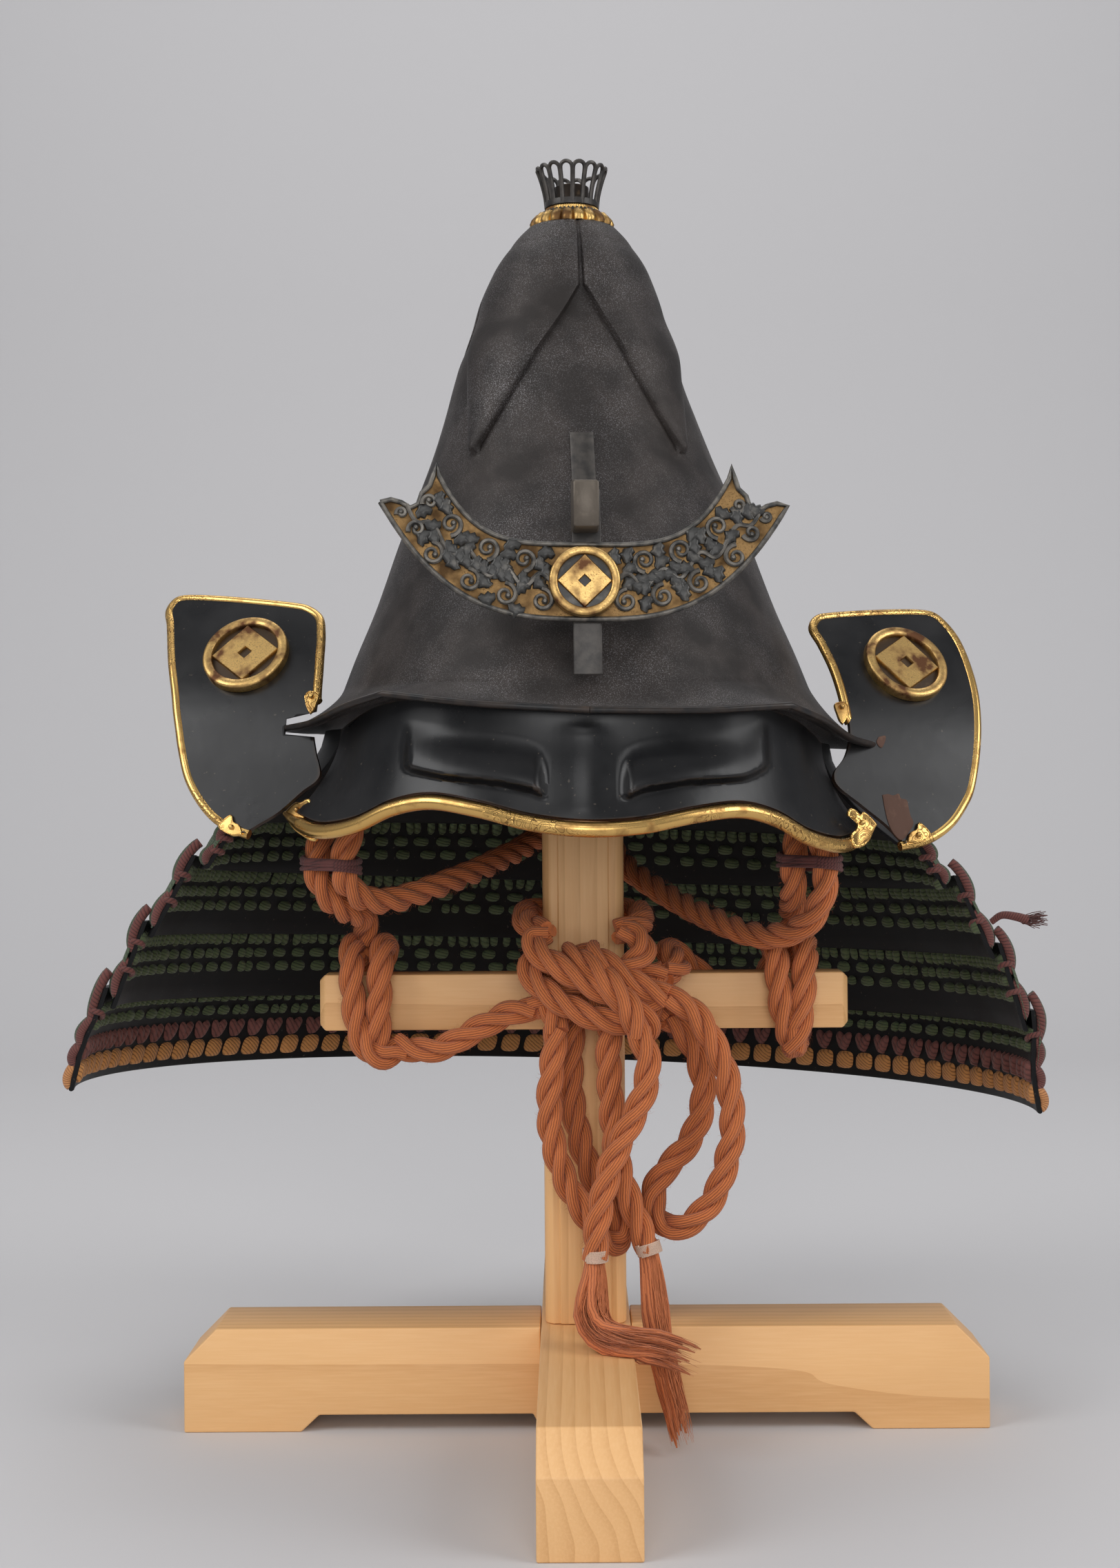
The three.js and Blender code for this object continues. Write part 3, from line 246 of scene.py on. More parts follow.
def yarn_group():
    """Ridges that run round a strand: u of the map runs along it and v round it. The second output is low in
    the grooves between the ridges, for painted shade there.
    """
    group, source, sink = make_group("yarns", {"Along": 60, "Around": 3, "Roughen": 0.4},
                                     ["Ridge", "Tint"])
    uv = add_node(group, "UVMap").outputs["UV"]
    parts = add_node(group, "SeparateXYZ")
    group.links.new(uv, parts.inputs[0])
    along = math_node(group, "MULTIPLY", parts.outputs[0], source.outputs["Along"])
    around = math_node(group, "MULTIPLY", parts.outputs[1], source.outputs["Around"])
    noise = add_node(group, "TexNoise", Scale=500.0, Detail=3.0)
    group.links.new(object_place(group), noise.inputs["Vector"])
    shaken = math_node(group, "MULTIPLY", noise.outputs["Fac"], source.outputs["Roughen"])
    phase = math_node(group, "ADD", math_node(group, "ADD", along, around), shaken)
    ridge = math_node(group, "ABSOLUTE",
                      math_node(group, "SINE", math_node(group, "MULTIPLY", phase, math.pi)))
    fine = add_node(group, "TexNoise", Scale=2500.0, Detail=3.0)
    group.links.new(object_place(group), fine.inputs["Vector"])
    whole = math_node(group, "ADD", ridge, math_node(group, "MULTIPLY", fine.outputs["Fac"], 0.6))
    group.links.new(whole, sink.inputs["Ridge"])
    # painted shade: the second output is low between the ridges and high on their tops
    group.links.new(spread(group, ridge, 0.0, 0.7), sink.inputs["Tint"])
    return group


def grain_group():
    """Long fibres and growth rings; the vector runs along the grain in its first part."""
    group, source, sink = make_group("grain", {"Vector": None, "Rings": 90}, ["Ring", "Fibre"])
    squeezed = add_node(group, "VectorMath", operation="MULTIPLY")
    squeezed.inputs[1].default_value = (0.05, 1, 1)
    group.links.new(source.outputs["Vector"], squeezed.inputs[0])
    wander = add_node(group, "TexNoise", Scale=14.0, Detail=2.0)
    group.links.new(squeezed.outputs[0], wander.inputs["Vector"])
    parts = add_node(group, "SeparateXYZ")
    group.links.new(squeezed.outputs[0], parts.inputs[0])
    slope = math_node(group, "ADD", parts.outputs[1],
                      math_node(group, "MULTIPLY", parts.outputs[2], 0.35))
    place_in = math_node(group, "ADD", slope,
                         math_node(group, "MULTIPLY", wander.outputs["Fac"], 0.035))
    turns = math_node(group, "MULTIPLY", place_in, source.outputs["Rings"])
    wave = math_node(group, "FRACT", turns)
    group.links.new(math_node(group, "POWER", wave, 2.5), sink.inputs["Ring"])
    fibre = add_node(group, "TexNoise", Scale=900.0, Detail=4.0)
    group.links.new(squeezed.outputs[0], fibre.inputs["Vector"])
    group.links.new(fibre.outputs["Fac"], sink.inputs["Fibre"])
    return group


BLOTCHES = blotch_group()
EDGE_WEAR = edge_wear_group()
YARNS = yarn_group()
GRAIN = grain_group()


def blotches(tree, scale, low, high, detail=4.0, stretch=(1, 1, 1)):
    made = place(tree, BLOTCHES, scale=scale, detail=detail, low=low, high=high, stretch=stretch)
    return made.outputs["Mask"]


def edge_wear(tree, low, high, scale=150.0):
    return place(tree, EDGE_WEAR, low=low, high=high, scale=scale).outputs["Mask"]


# ---- finishes ------------------------------------------------------------------------------------
def wood_finish(name, along):
    """Pale planed wood; along is the beam's own direction."""
    material, tree, shader = plain_material(name, (0.7, 0.48, 0.27), 0.5)
    order = {"X": (0, 1, 2), "Y": (1, 0, 2), "Z": (2, 0, 1)}[along]
    parts = add_node(tree, "SeparateXYZ")
    tree.links.new(object_place(tree), parts.inputs[0])
    turned = add_node(tree, "CombineXYZ")
    for index, source in enumerate(order):
        tree.links.new(parts.outputs[source], turned.inputs[index])
    grain = place(tree, GRAIN, rings=150.0)
    tree.links.new(turned.outputs[0], grain.inputs["Vector"])
    pale, dark = (0.82, 0.475, 0.205), (0.60, 0.30, 0.105)
    colour = mix_colours(tree, math_node(tree, "MULTIPLY", grain.outputs["Ring"], 0.62), pale, dark)
    colour = mix_colours(tree,
                         math_node(tree, "MULTIPLY",
                                   spread(tree, grain.outputs["Fibre"], 0.42, 0.7), 0.28), colour,
                                   (0.90, 0.57, 0.28))
    colour = mix_colours(tree, math_node(tree, "MULTIPLY", blotches(tree, 9.0, 0.5, 0.75), 0.3),
                         colour, (0.66, 0.35, 0.135))
    tree.links.new(colour, shader.inputs["Base Color"])
    bump(tree, shader, grain.outputs["Fibre"], 0.12, 0.0006)
    return material


def iron_finish():
    """Russet iron, dark brown with a silvery speckle painted into its colour, partly the iron's own flecks and
    partly painted glints of light.
    """
    material, tree, shader = plain_material("russet_iron", (0.05, 0.042, 0.04), 0.5, 0.35)
    base = mix_colours(tree, blotches(tree, 60.0, 0.4, 0.62), (0.016, 0.0118, 0.010),
                       (0.032, 0.0245, 0.021))
    speck = blotches(tree, 2200.0, 0.52, 0.68, 2.0)
    drift = blotches(tree, 30.0, 0.34, 0.70, 5.0)
    # painted glint: a grey speckle mixed into the base colour, partly the iron's flecks and partly light
    # catching them
    speckle_and_glint = math_node(tree, "MULTIPLY", speck, drift)
    colour = mix_colours(tree, math_node(tree, "MULTIPLY", speckle_and_glint, 0.6), base, (0.26, 0.25, 0.26))
    tree.links.new(colour, shader.inputs["Base Color"])
    rough = spread(tree, speckle_and_glint, 0.0, 1.0)
    tree.links.new(math_node(tree, "SUBTRACT", 0.55, math_node(tree, "MULTIPLY", rough, 0.17)),
                   shader.inputs["Roughness"])
    pits = add_node(tree, "TexNoise", Scale=1400.0, Detail=3.0)
    tree.links.new(object_place(tree), pits.inputs["Vector"])
    bump(tree, shader, pits.outputs["Fac"], 0.35, 0.0004)
    return material


def lacquer_finish(name="lacquer", wear=0.5, smooth=0.33, shine=0.36):
    """Near-black gloss lacquer, hazed by handling and rubbed through to brown at the edges."""
    material, tree, shader = plain_material(name, (0.006, 0.006, 0.007), 0.2)
    haze = blotches(tree, 26.0, 0.42, 0.72)
    rubbed = math_node(tree, "MULTIPLY", edge_wear(tree, 0.53, 0.6), wear)
    colour = mix_colours(tree, haze, (0.0045, 0.0045, 0.005), (0.011, 0.0105, 0.011))
    colour = mix_colours(tree, rubbed, colour, (0.075, 0.045, 0.028))
    dots = math_node(tree, "MULTIPLY", blotches(tree, 600.0, 0.74, 0.78, 1.0), 0.3)
    colour = mix_colours(tree, dots, colour, (0.16, 0.13, 0.10))
    tree.links.new(colour, shader.inputs["Base Color"])
    rough = math_node(tree, "ADD", smooth, math_node(tree, "MULTIPLY", haze, 0.14))
    tree.links.new(math_node(tree, "ADD", rough, math_node(tree, "MULTIPLY", rubbed, 0.3)),
                   shader.inputs["Roughness"])
    shader.inputs["Specular IOR Level"].default_value = shine
    ripple = add_node(tree, "TexNoise", Scale=90.0, Detail=2.0)
    tree.links.new(object_place(tree), ripple.inputs["Vector"])
    bump(tree, shader, ripple.outputs["Fac"], 0.08, 0.001)
    return material


def gilt_finish(name="gilt", bright=(0.62, 0.40, 0.14), dull=(0.16, 0.085, 0.035), low=0.4,
                high=0.62, roughness=0.32):
    """Gilt copper, brown where the gold has gone or dirt lies."""
    material, tree, shader = plain_material(name, bright, roughness, 1.0)
    worn = blotches(tree, 130.0, low, high, 6.0)
    fine = blotches(tree, 1500.0, 0.52, 0.7, 3.0)
    share = math_node(tree, "MAXIMUM", worn, math_node(tree, "MULTIPLY", fine, 0.6))
    colour = mix_colours(tree, share, bright, dull)
    tree.links.new(colour, shader.inputs["Base Color"])
    tree.links.new(math_node(tree, "ADD", roughness, math_node(tree, "MULTIPLY", share, 0.22)),
                   shader.inputs["Roughness"])
    grains = add_node(tree, "TexNoise", Scale=1800.0, Detail=3.0)
    tree.links.new(object_place(tree), grains.inputs["Vector"])
    bump(tree, shader, grains.outputs["Fac"], 0.22, 0.0003)
    return material


def engraved_finish():
    """Gilt copper with fine scrolls cut into stretches of it."""
    material, tree, shader = plain_material("gilt_engraved", (0.7, 0.44, 0.15), 0.3, 1.0)
    noise = add_node(tree, "TexNoise", Scale=260.0, Detail=0.5)
    tree.links.new(object_place(tree), noise.inputs["Vector"])
    turns = math_node(tree, "FRACT", math_node(tree, "MULTIPLY", noise.outputs["Fac"], 9.0))
    off = math_node(tree, "ABSOLUTE", math_node(tree, "SUBTRACT", turns, 0.5))
    line = spread(tree, off, 0.16, 0.06)
    cut = math_node(tree, "MULTIPLY", line, blotches(tree, 17.0, 0.49, 0.53, 1.0))
    worn = blotches(tree, 130.0, 0.52, 0.74, 6.0)
    colour = mix_colours(tree, worn, (0.72, 0.45, 0.15), (0.26, 0.13, 0.045))
    tree.links.new(mix_colours(tree, math_node(tree, "MULTIPLY", cut, 0.75), colour,
                               (0.10, 0.05, 0.02)), shader.inputs["Base Color"])
    tree.links.new(math_node(tree, "ADD", 0.26, math_node(tree, "MULTIPLY", worn, 0.2)),
                   shader.inputs["Roughness"])
    bump(tree, shader, math_node(tree, "SUBTRACT", 1.0, cut), 0.5, 0.0003)
    return material


def bronze_finish(name, dark, light, roughness=0.4, metallic=0.85):
    """Patinated metal, lighter where it is rubbed."""
    material, tree, shader = plain_material(name, dark, roughness, metallic)
    rubbed = math_node(tree, "MAXIMUM", edge_wear(tree, 0.51, 0.57, 260.0),
                       math_node(tree, "MULTIPLY", blotches(tree, 180.0, 0.55, 0.72), 0.5))
    tree.links.new(mix_colours(tree, rubbed, dark, light), shader.inputs["Base Color"])
    grains = add_node(tree, "TexNoise", Scale=900.0, Detail=3.0)
    tree.links.new(object_place(tree), grains.inputs["Vector"])
    bump(tree, shader, grains.outputs["Fac"], 0.2, 0.0003)
    return material


# fade sets how much painted highlight is mixed into the yarn as paler tan patches
def yarn_finish(name, light, dark, along, around, roughness=0.85, depth=0.0005, fade=0.35):
    """Twisted or braided thread with a fine fuzz, and painted shade in the grooves between its ridges."""
    material, tree, shader = plain_material(name, light, roughness)
    yarn = place(tree, YARNS, along=along, around=around, roughen=0.5)
    # painted shade: the dark colour in the grooves between the ridges, the light one on their tops
    colour = mix_colours(tree, yarn.outputs["Tint"], dark, light)
    # painted highlight: paler tan patches mixed into the yarn's colour
    highlight_tan = tuple(min(1.0, c * 1.35 + 0.02) for c in light)
    colour = mix_colours(tree, math_node(tree, "MULTIPLY", blotches(tree, 70.0, 0.45, 0.7), fade),
                         colour, highlight_tan)
    tree.links.new(colour, shader.inputs["Base Color"])
    shader.inputs["Sheen Weight"].default_value = 0.1
    shader.inputs["Sheen Roughness"].default_value = 0.5
    bump(tree, shader, yarn.outputs["Ridge"], 0.6, depth)
    return material


FINISH = {
    "wood_x": wood_finish("wood_across", "X"),
    "wood_y": wood_finish("wood_front_to_back", "Y"),
    "wood_z": wood_finish("wood_upright", "Z"),
    "iron": iron_finish(),
    "lacquer": lacquer_finish("lacquer", 0.5, 0.27),
    "gilt": gilt_finish(),
    "gilt_ground": gilt_finish("gilt_ground", (0.27, 0.165, 0.070), (0.12, 0.070, 0.033), 0.42,
                               0.66, 0.5),
    "gilt_worn": gilt_finish("gilt_worn", (0.66, 0.43, 0.16), (0.13, 0.06, 0.03), 0.44, 0.64, 0.34),
    "gilt_engraved": engraved_finish(),
    "bronze": bronze_finish("bronze", (0.035, 0.026, 0.02), (0.25, 0.16, 0.08)),
    "patina": bronze_finish("patina", (0.043, 0.042, 0.040), (0.16, 0.145, 0.125), 0.38, 0.5),
    "dark_steel": bronze_finish("dark_steel", (0.035, 0.032, 0.030), (0.07, 0.062, 0.055), 0.4,
                                0.5),
    "brown_steel": bronze_finish("brown_steel", (0.10, 0.082, 0.064), (0.17, 0.14, 0.11), 0.42,
                                 0.5),
    "gilt_dark": bronze_finish("gilt_dark", (0.055, 0.036, 0.022), (0.12, 0.075, 0.04), 0.5, 0.6),
    "worn_patch": bronze_finish("worn_patch", (0.085, 0.040, 0.025), (0.21, 0.115, 0.07), 0.8, 0.0),
    "lacquer_inside": lacquer_finish("lacquer_inside", 0.4, 0.5, 0.15),
    "rope": yarn_finish("rope", (0.60, 0.170, 0.046), (0.22, 0.050, 0.014), 70.0, 15.0,
                        depth=0.0011, fade=0.2),
    "tassel": yarn_finish("tassel_yarn", (0.58, 0.175, 0.060), (0.24, 0.058, 0.020), 30.0, 7.0,
                          fade=0.2),
    "maroon": yarn_finish("maroon_lace", (0.105, 0.030, 0.026), (0.035, 0.010, 0.010), 900.0, 2.0),
    "maroon_ribs": yarn_finish("maroon_ribs", (0.15, 0.050, 0.040), (0.045, 0.014, 0.012), 350.0,
                               3.0),
    "maroon_braid": yarn_finish("maroon_braid", (0.13, 0.038, 0.030), (0.04, 0.012, 0.010), 700.0,
                                3.0),
    "green": yarn_finish("green_lace", (0.030, 0.052, 0.026), (0.010, 0.018, 0.010), 900.0, 4.0),
    "green_ribs": yarn_finish("green_ribs", (0.066, 0.090, 0.036), (0.014, 0.022, 0.010), 120.0,
                              4.0),
    "green_braid": yarn_finish("green_braid", (0.062, 0.088, 0.045), (0.016, 0.026, 0.015), 350.0,
                               14.0),
    "orange_ribs": yarn_finish("orange_ribs", (0.50, 0.225, 0.065), (0.15, 0.060, 0.018), 420.0,
                               5.0),
    "orange_braid": yarn_finish("orange_braid", (0.46, 0.20, 0.07), (0.20, 0.075, 0.025), 700.0,
                                3.0),
    "whipping": yarn_finish("whipping_thread", (0.72, 0.52, 0.40), (0.42, 0.26, 0.18), 2500.0, 0.0),
}


# ---- mesh helpers --------------------------------------------------------------------------------
class Form:
    """Points, faces and map coordinates of one piece while it is made."""

    def __init__(self):
        self.points, self.faces, self.maps = [], [], []

    def add_grid(self, rows, closed_rows=False, closed_columns=False, caps=False, scale=(1, 1)):
        """A grid of points; a map coordinate runs along the rows and round the columns."""
        start, width = len(self.points), len(rows[0])
        for row in rows:
            self.points.extend(row)
        last_row = len(rows) if closed_rows else len(rows) - 1
        last_column = width if closed_columns else width - 1
        for i in range(last_row):
            for j in range(last_column):
                i2, j2 = (i + 1) % len(rows), (j + 1) % width
                self.faces.append(tuple(start + a * width + b for a,
                                        b in ((i, j), (i, j2), (i2, j2), (i2, j))))
                u, v = scale
                self.maps.append([(i * u, j * v), (i * u, (j + 1) * v), ((i + 1) * u, (j + 1) * v),
                                  ((i + 1) * u, j * v)])
        if caps:
            for row, turn in ((0, -1), (len(rows) - 1, 1)):
                ring = [start + row * width + j for j in range(width)][::turn]
                self.faces.append(tuple(ring))
                self.maps.append([(0, 0)] * width)

    def piece(self, name, finish, smooth=True, placed=None):
        mesh = bpy.data.meshes.new(name)
        points = self.points if placed is None else [placed @ Vector(p) for p in self.points]
        mesh.from_pydata([tuple(p) for p in points], [], self.faces)
        layer = mesh.uv_layers.new(name="UVMap")
        layer.data.foreach_set("uv", [c for face in self.maps for uv in face for c in uv])
        mesh.polygons.foreach_set("use_smooth", [smooth] * len(self.faces))
        mesh.set_sharp_from_angle(angle=math.radians(48))
        mesh.materials.append(FINISH[finish])
        made = bpy.data.objects.new(name, mesh)
        bpy.context.scene.collection.objects.link(made)
        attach(made, "root")
        return made


def smooth_run(points, step):
    """A smooth line through the points, as points a step apart."""
    points = [Vector(p) for p in points]
    ends = [points[0] * 2 - points[1]] + points + [points[-1] * 2 - points[-2]]
    fine = []
    for a, b, c, d in zip(ends, ends[1:], ends[2:], ends[3:]):
        t1 = (b - a).length ** 0.5
        t2 = t1 + (c - b).length ** 0.5
        t3 = t2 + (d - c).length ** 0.5
        for k in range(12):
            t = t1 + (t2 - t1) * k / 12
            p, q, r = (a + (b - a) * (t / t1), b + (c - b) * ((t - t1) / (t2 - t1)),
                       c + (d - c) * ((t - t2) / (t3 - t2)))
            s, e = p + (q - p) * (t / t2), q + (r - q) * ((t - t1) / (t3 - t1))
            fine.append(s + (e - s) * ((t - t1) / (t2 - t1)))
    fine.append(points[-1])
    return even_run(fine, step)


def even_run(points, step):
    total = run_length(points)
    count = max(2, round(total / step))
    made, walked, i = [points[0].copy()], 0.0, 0
    for k in range(1, count):
        target = total * k / count
        while walked + (points[i + 1] - points[i]).length < target:
            walked += (points[i + 1] - points[i]).length
            i += 1
        share = (target - walked) / max((points[i + 1] - points[i]).length, 1e-9)
        made.append(points[i].lerp(points[i + 1], share))
    made.append(points[-1].copy())
    return made


def run_length(points):
    return sum((b - a).length for a, b in zip(points, points[1:]))


def carried_frames(points):
    """At each point of a run its direction and two crosswise directions that don't spin."""
    frames, across = [], None
    for i in range(len(points)):
        ahead = (points[min(i + 1, len(points) - 1)] - points[max(i - 1, 0)]).normalized()
        if across is None:
            across = ahead.orthogonal().normalized()
        across = (across - ahead * across.dot(ahead)).normalized()
        frames.append((ahead, across, ahead.cross(across)))
    return frames


def add_tube(form, points, radius, sides=8, scale=(1, 1), squash=1.0, caps=True):
    """A round tube; radius is a number or a function of the share of the way along."""
    rows = []
    count = len(points) - 1
    for i, (p, (_, across, over)) in enumerate(zip(points, carried_frames(points))):
        r = radius(i / count) if callable(radius) else radius
        turns = [2 * math.pi * k / sides for k in range(sides)]
        rows.append([p + across * (r * math.cos(a)) + over * (r * squash * math.sin(a))
                     for a in turns])
    form.add_grid(rows, closed_columns=True, caps=caps, scale=scale)


def add_twist(form, points, diameter, pitch, start=0.0, sides=9, fuzz=0, seed=1):
    """Three strands laid round each other along a run of points."""
    reach = diameter / 2
    strand = reach / 2.1
    helix = reach - strand
    frames = carried_frames(points)
    walked = [0.0]
    for a, b in zip(points, points[1:]):
        walked.append(walked[-1] + (b - a).length)
    for k in range(3):
        line = []
        for p, (_, across, over), s in zip(points, frames, walked):
            a = start + 2 * math.pi * (s / pitch + k / 3)
            line.append(p + across * (helix * math.cos(a)) + over * (helix * math.sin(a)))
        add_tube(form, line, strand, sides, scale=((points[1] - points[0]).length, 1 / sides),
                 squash=1.0)
    pick = random.Random(seed)
    for _ in range(fuzz):
        i = pick.randrange(1, len(points) - 1)
        ahead, across, over = frames[i]
        a = pick.uniform(0, 2 * math.pi)
        out = across * math.cos(a) + over * math.sin(a)
        root = points[i] + out * (reach * 0.86)
        side = out.cross(ahead) * pick.uniform(-1, 1) + ahead * pick.uniform(-1, 1)
        length = pick.uniform(0.8, 2.6) * MM
        middle = root + out * (length * 0.55) + side * (length * 0.4)
        tip = middle + out * (length * 0.2) + side * (length * 0.7)
        add_fibre(form, (root, middle, tip), 0.035 * MM)


def add_fibre(form, points, width):
    side = (points[-1] - points[0]).cross(Vector((0.3, -1, 0.2))).normalized() * width
    form.add_grid([(p - side * (1 - 0.4 * i), p + side * (1 - 0.4 * i)) for i,
                   p in enumerate(points)])


# ---- the ropes -----------------------------------------------------------------------------------
# Each rope's run in millimetres, its whole length in metres,
# what its far end meets and how it lies.
ROPES = {
    "rope_drape_left": ([(-86, -50, 300), (-91, -54, 286), (-98, -57, 270), (-101.5, -57.5, 258),
                         (-102, -57, 248),
        (-96, -48, 239), (-86, -36, 236.5), (-75, -22, 238.5), (-64, -6, 242), (-52, 14, 246),
        (-40, 38, 251),
        (-29, 62, 256), (-20, 84, 262), (-13, 104, 272), (-9, 114.5, 286), (-8, 117, 299)], 0.281,
        "object", "hanging"),
    "rope_drape_right": ([(84, -52, 296), (90, -56, 284), (98, -58, 270), (102, -58.5, 258),
                          (103, -58, 247),
        (101, -52, 235), (97, -46, 227), (90, -36, 221.5), (80, -22, 219), (72, -10, 220),
        (63, 5, 223),
        (53, 22, 227), (43, 42, 232), (32, 62, 238.5), (21, 84, 247), (12, 104, 262), (8, 115, 280),
        (7, 118, 297)], 0.3, "object", "hanging"),
    "rope_drop_left": ([(-97, -38, 300), (-103, -40, 286), (-111, -44, 271), (-114, -46.5, 259),
                        (-114.5, -47, 248),
        (-109, -42, 237), (-102, -29, 231), (-98.5, -15, 229), (-98, -6, 225), (-98, -1.6, 219.5),
        (-98, -1.5, 214.9)], 0.122, "knot", "taut"),
    "rope_drop_right": ([(94, -38, 296), (96, -41, 282), (94, -45, 268), (91, -47, 258),
                         (90.5, -46, 247),
        (91, -38, 238), (92, -26, 233.5), (93, -14, 230), (93.5, -6, 225.5), (93.5, -1.6, 219.5),
        (93.5, -1.5, 214.9)], 0.11, "knot", "taut"),
    "rope_lead_left": ([(-83.6, -14.5, 171), (-76, -16.5, 169), (-63, -21.5, 170.5),
                        (-51, -25, 177),
        (-38, -28, 184), (-30, -29.5, 187.3), (-21.9, -30, 188)], 0.073, "knot", "taut"),
    "rope_lead_right": ([(78.6, 12.8, 190.5), (66, 12.8, 192.5), (54, 12.8, 199), (46.5, 12.4, 206),
                         (41, 8, 210),
        (38.5, 0, 211), (38.5, -9, 210.5), (40.5, -18, 208), (41.5, -25, 205),
        (35.8, -29.5, 203.5)],
        0.087, "knot", "taut"),
    "rope_wrap": ([(-15.5, -30, 222), (-21.5, -25, 223.5), (-25.8, -14, 225.5), (-26, 0, 227.5),
                   (-26, 14, 228),
        (-24.5, 21.5, 228), (-18, 25.5, 228), (-6, 25.5, 228), (6, 25.5, 228), (18, 25.5, 228),
        (24.5, 21.5, 227.7),
        (26, 14, 227.5), (26, 0, 226.5), (25.8, -14, 225), (21.5, -25, 223), (15, -30, 222)], 0.165,
        "knot", "taut"),
    "rope_hang_left": ([(-12, -35, 180), (-14, -35, 165), (-15.5, -34.5, 150), (-15, -34, 136),
                        (-12, -34, 123),
        (-7.5, -34, 111), (-1, -33.5, 100), (4.5, -32, 91), (9.5, -29.5, 85), (15, -26, 86),
        (15, -24, 93),
        (10, -23.2, 101), (4, -23, 112), (-1, -23, 125), (-4, -23, 138), (-6, -23, 152),
        (-6, -23, 166),
        (-5, -23, 180)], 0.208, "knot", "hanging"),
    "rope_hang_middle": ([(23, -45, 180), (27, -46, 170), (27, -46, 160), (23.5, -46.5, 149),
                          (18, -47, 138),
        (13, -47.5, 128), (9.5, -48, 118), (7, -48.5, 108), (5, -49, 98), (4, -49, 90),
        (4, -49, 83)],
        0.102, "fitting", "hanging"),
    "rope_hang_right": ([(11, -34, 180), (10.5, -34, 166), (11, -33.5, 153), (12, -32.5, 139),
                         (13.5, -32, 126),
        (16.5, -32.5, 113), (20, -34, 103), (24, -36, 93), (27.5, -38, 83)], 0.1, "fitting",
        "hanging"),
    "rope_loop": ([(36, -39, 194), (44, -39.5, 190.5), (51, -39.5, 183), (57, -39.5, 172),
                   (61.5, -39.5, 160),
        (63.5, -39, 147), (64, -38, 135), (61.5, -37, 122), (58, -36.5, 111), (52, -36, 101),
        (44, -35.5, 94.5),
        (37, -30.5, 92), (31, -25.5, 97), (30, -23.5, 106), (34.5, -23.2, 115), (41, -23.2, 122),
        (47, -23.2, 130),
        (51, -23.2, 140), (52.5, -23.2, 150), (51.5, -23.6, 160), (48, -24.5, 170), (43, -26, 178),
        (36.5, -28, 184)], 0.235, "knot", "hanging"),
}


def add_ropes():
    made = {}
    for number, (name, (route, length, far_end, lay)) in enumerate(ROPES.items()):
        run = smooth_run([Vector(p) * MM for p in route], 1.3 * MM)
        form = Form()
        add_twist(form, run, ROPE_DIAMETER, ROPE_PITCH, start=number * 1.3, fuzz=int(len(run) * 5),
                  seed=number)
        piece = form.piece(name + "_twist", "rope")
        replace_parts(piece, name)
        made[name] = (piece, run, length, far_end, lay)
    return made


# ---- knots, hitches and tassels ------------------------------------------------------------------
# The turns of rope that make each hitch and the knot, in millimetres.
HITCH_LEFT = [
    [(-98, -2, 214), (-99, 6, 211), (-102, 12.5, 204), (-104.5, 12.5, 207), (-104.5, 5, 213.5),
     (-104, -6, 214),
     (-103.5, -14.5, 209), (-103, -17.3, 198), (-102, -17.3, 186), (-99.5, -17.5, 175),
     (-95, -18, 168), (-89.5, -17.5, 166),
     (-83, -15.5, 169), (-79, -16, 169.5)],
    [(-98, -2, 214), (-96, 6, 212), (-92, 12, 205), (-90, 9, 211), (-90, 0, 214.3), (-90, -10, 213),
     (-90.5, -16.8, 204),
     (-91, -17.6, 192), (-91.5, -17.4, 180), (-92, -13, 171), (-92, -3, 168.5), (-92, 7, 169.5),
     (-93, 12.6, 178),
     (-96, 13, 190), (-100, 13, 200), (-103, 12.5, 206)],
]
HITCH_RIGHT = [
    [(79.5, 12.8, 190.5), (84, 13, 197), (86, 9, 208), (86, -1, 214), (86, -12, 212),
     (86.3, -17.2, 201),
     (87.5, -17.3, 189), (90, -17.3, 178), (93, -13, 170), (95, -3, 168.3), (97, 7, 169.5),
     (98.5, 12.8, 180),
     (99, 13, 194), (99.5, 9, 207), (99.5, -2, 214), (99, -13, 211.5), (98, -17.6, 201),
     (97, -17.8, 188),
     (95, -17.6, 176), (92, -16, 168)],
    [(93.5, -2, 214.5), (93.2, 5, 210), (92.5, 11.5, 200), (92.5, 12.5, 190)],
]
KNOT = [
    [(-16, -30, 222), (-22.5, -31, 219), (-19, -37, 213), (-10, -40.5, 207), (1, -42, 201),
     (12, -42.5, 195), (22, -42, 188.5),
     (28, -38, 182), (26, -32, 177)],
    [(-23, -24, 210), (-24, -31, 205), (-18, -37.5, 198), (-8, -40, 191), (3, -40.5, 186),
     (14, -40, 183.5), (25, -38, 186),
     (32.5, -34, 193), (33, -27, 201)],
    [(15, -30, 222), (23.5, -30, 220), (26, -34, 213), (19, -36, 207), (9, -34.5, 203),
     (-3, -32, 199), (-14, -30, 194),
     (-22.5, -30, 188.5)],
    [(-12, -35, 179), (-13, -34, 184), (-15, -31, 192), (-14, -27, 201), (-6, -24.5, 208),
     (4, -24.5, 212)],
    [(23, -45, 179), (21, -46.5, 186), (18, -47, 193), (12, -45.5, 200), (4, -41, 207),
     (-3, -35, 211), (-8, -29, 212)],
    [(36, -39, 194), (28, -39.5, 197.5), (20, -40, 201.5), (12, -39.5, 207), (5, -36, 212),
     (3, -30, 213)],
    [(36, -28, 184.5), (28, -28, 188), (18, -27, 190), (8, -26, 192)],
    [(11, -34, 179), (10, -33.5, 185), (6, -31, 191), (2, -28, 197)],
    [(-5, -23.5, 179), (-4, -24, 186), (-1, -25, 194)],
    [(35, -29.5, 203.5), (28, -31, 203), (20, -30, 201)],
]


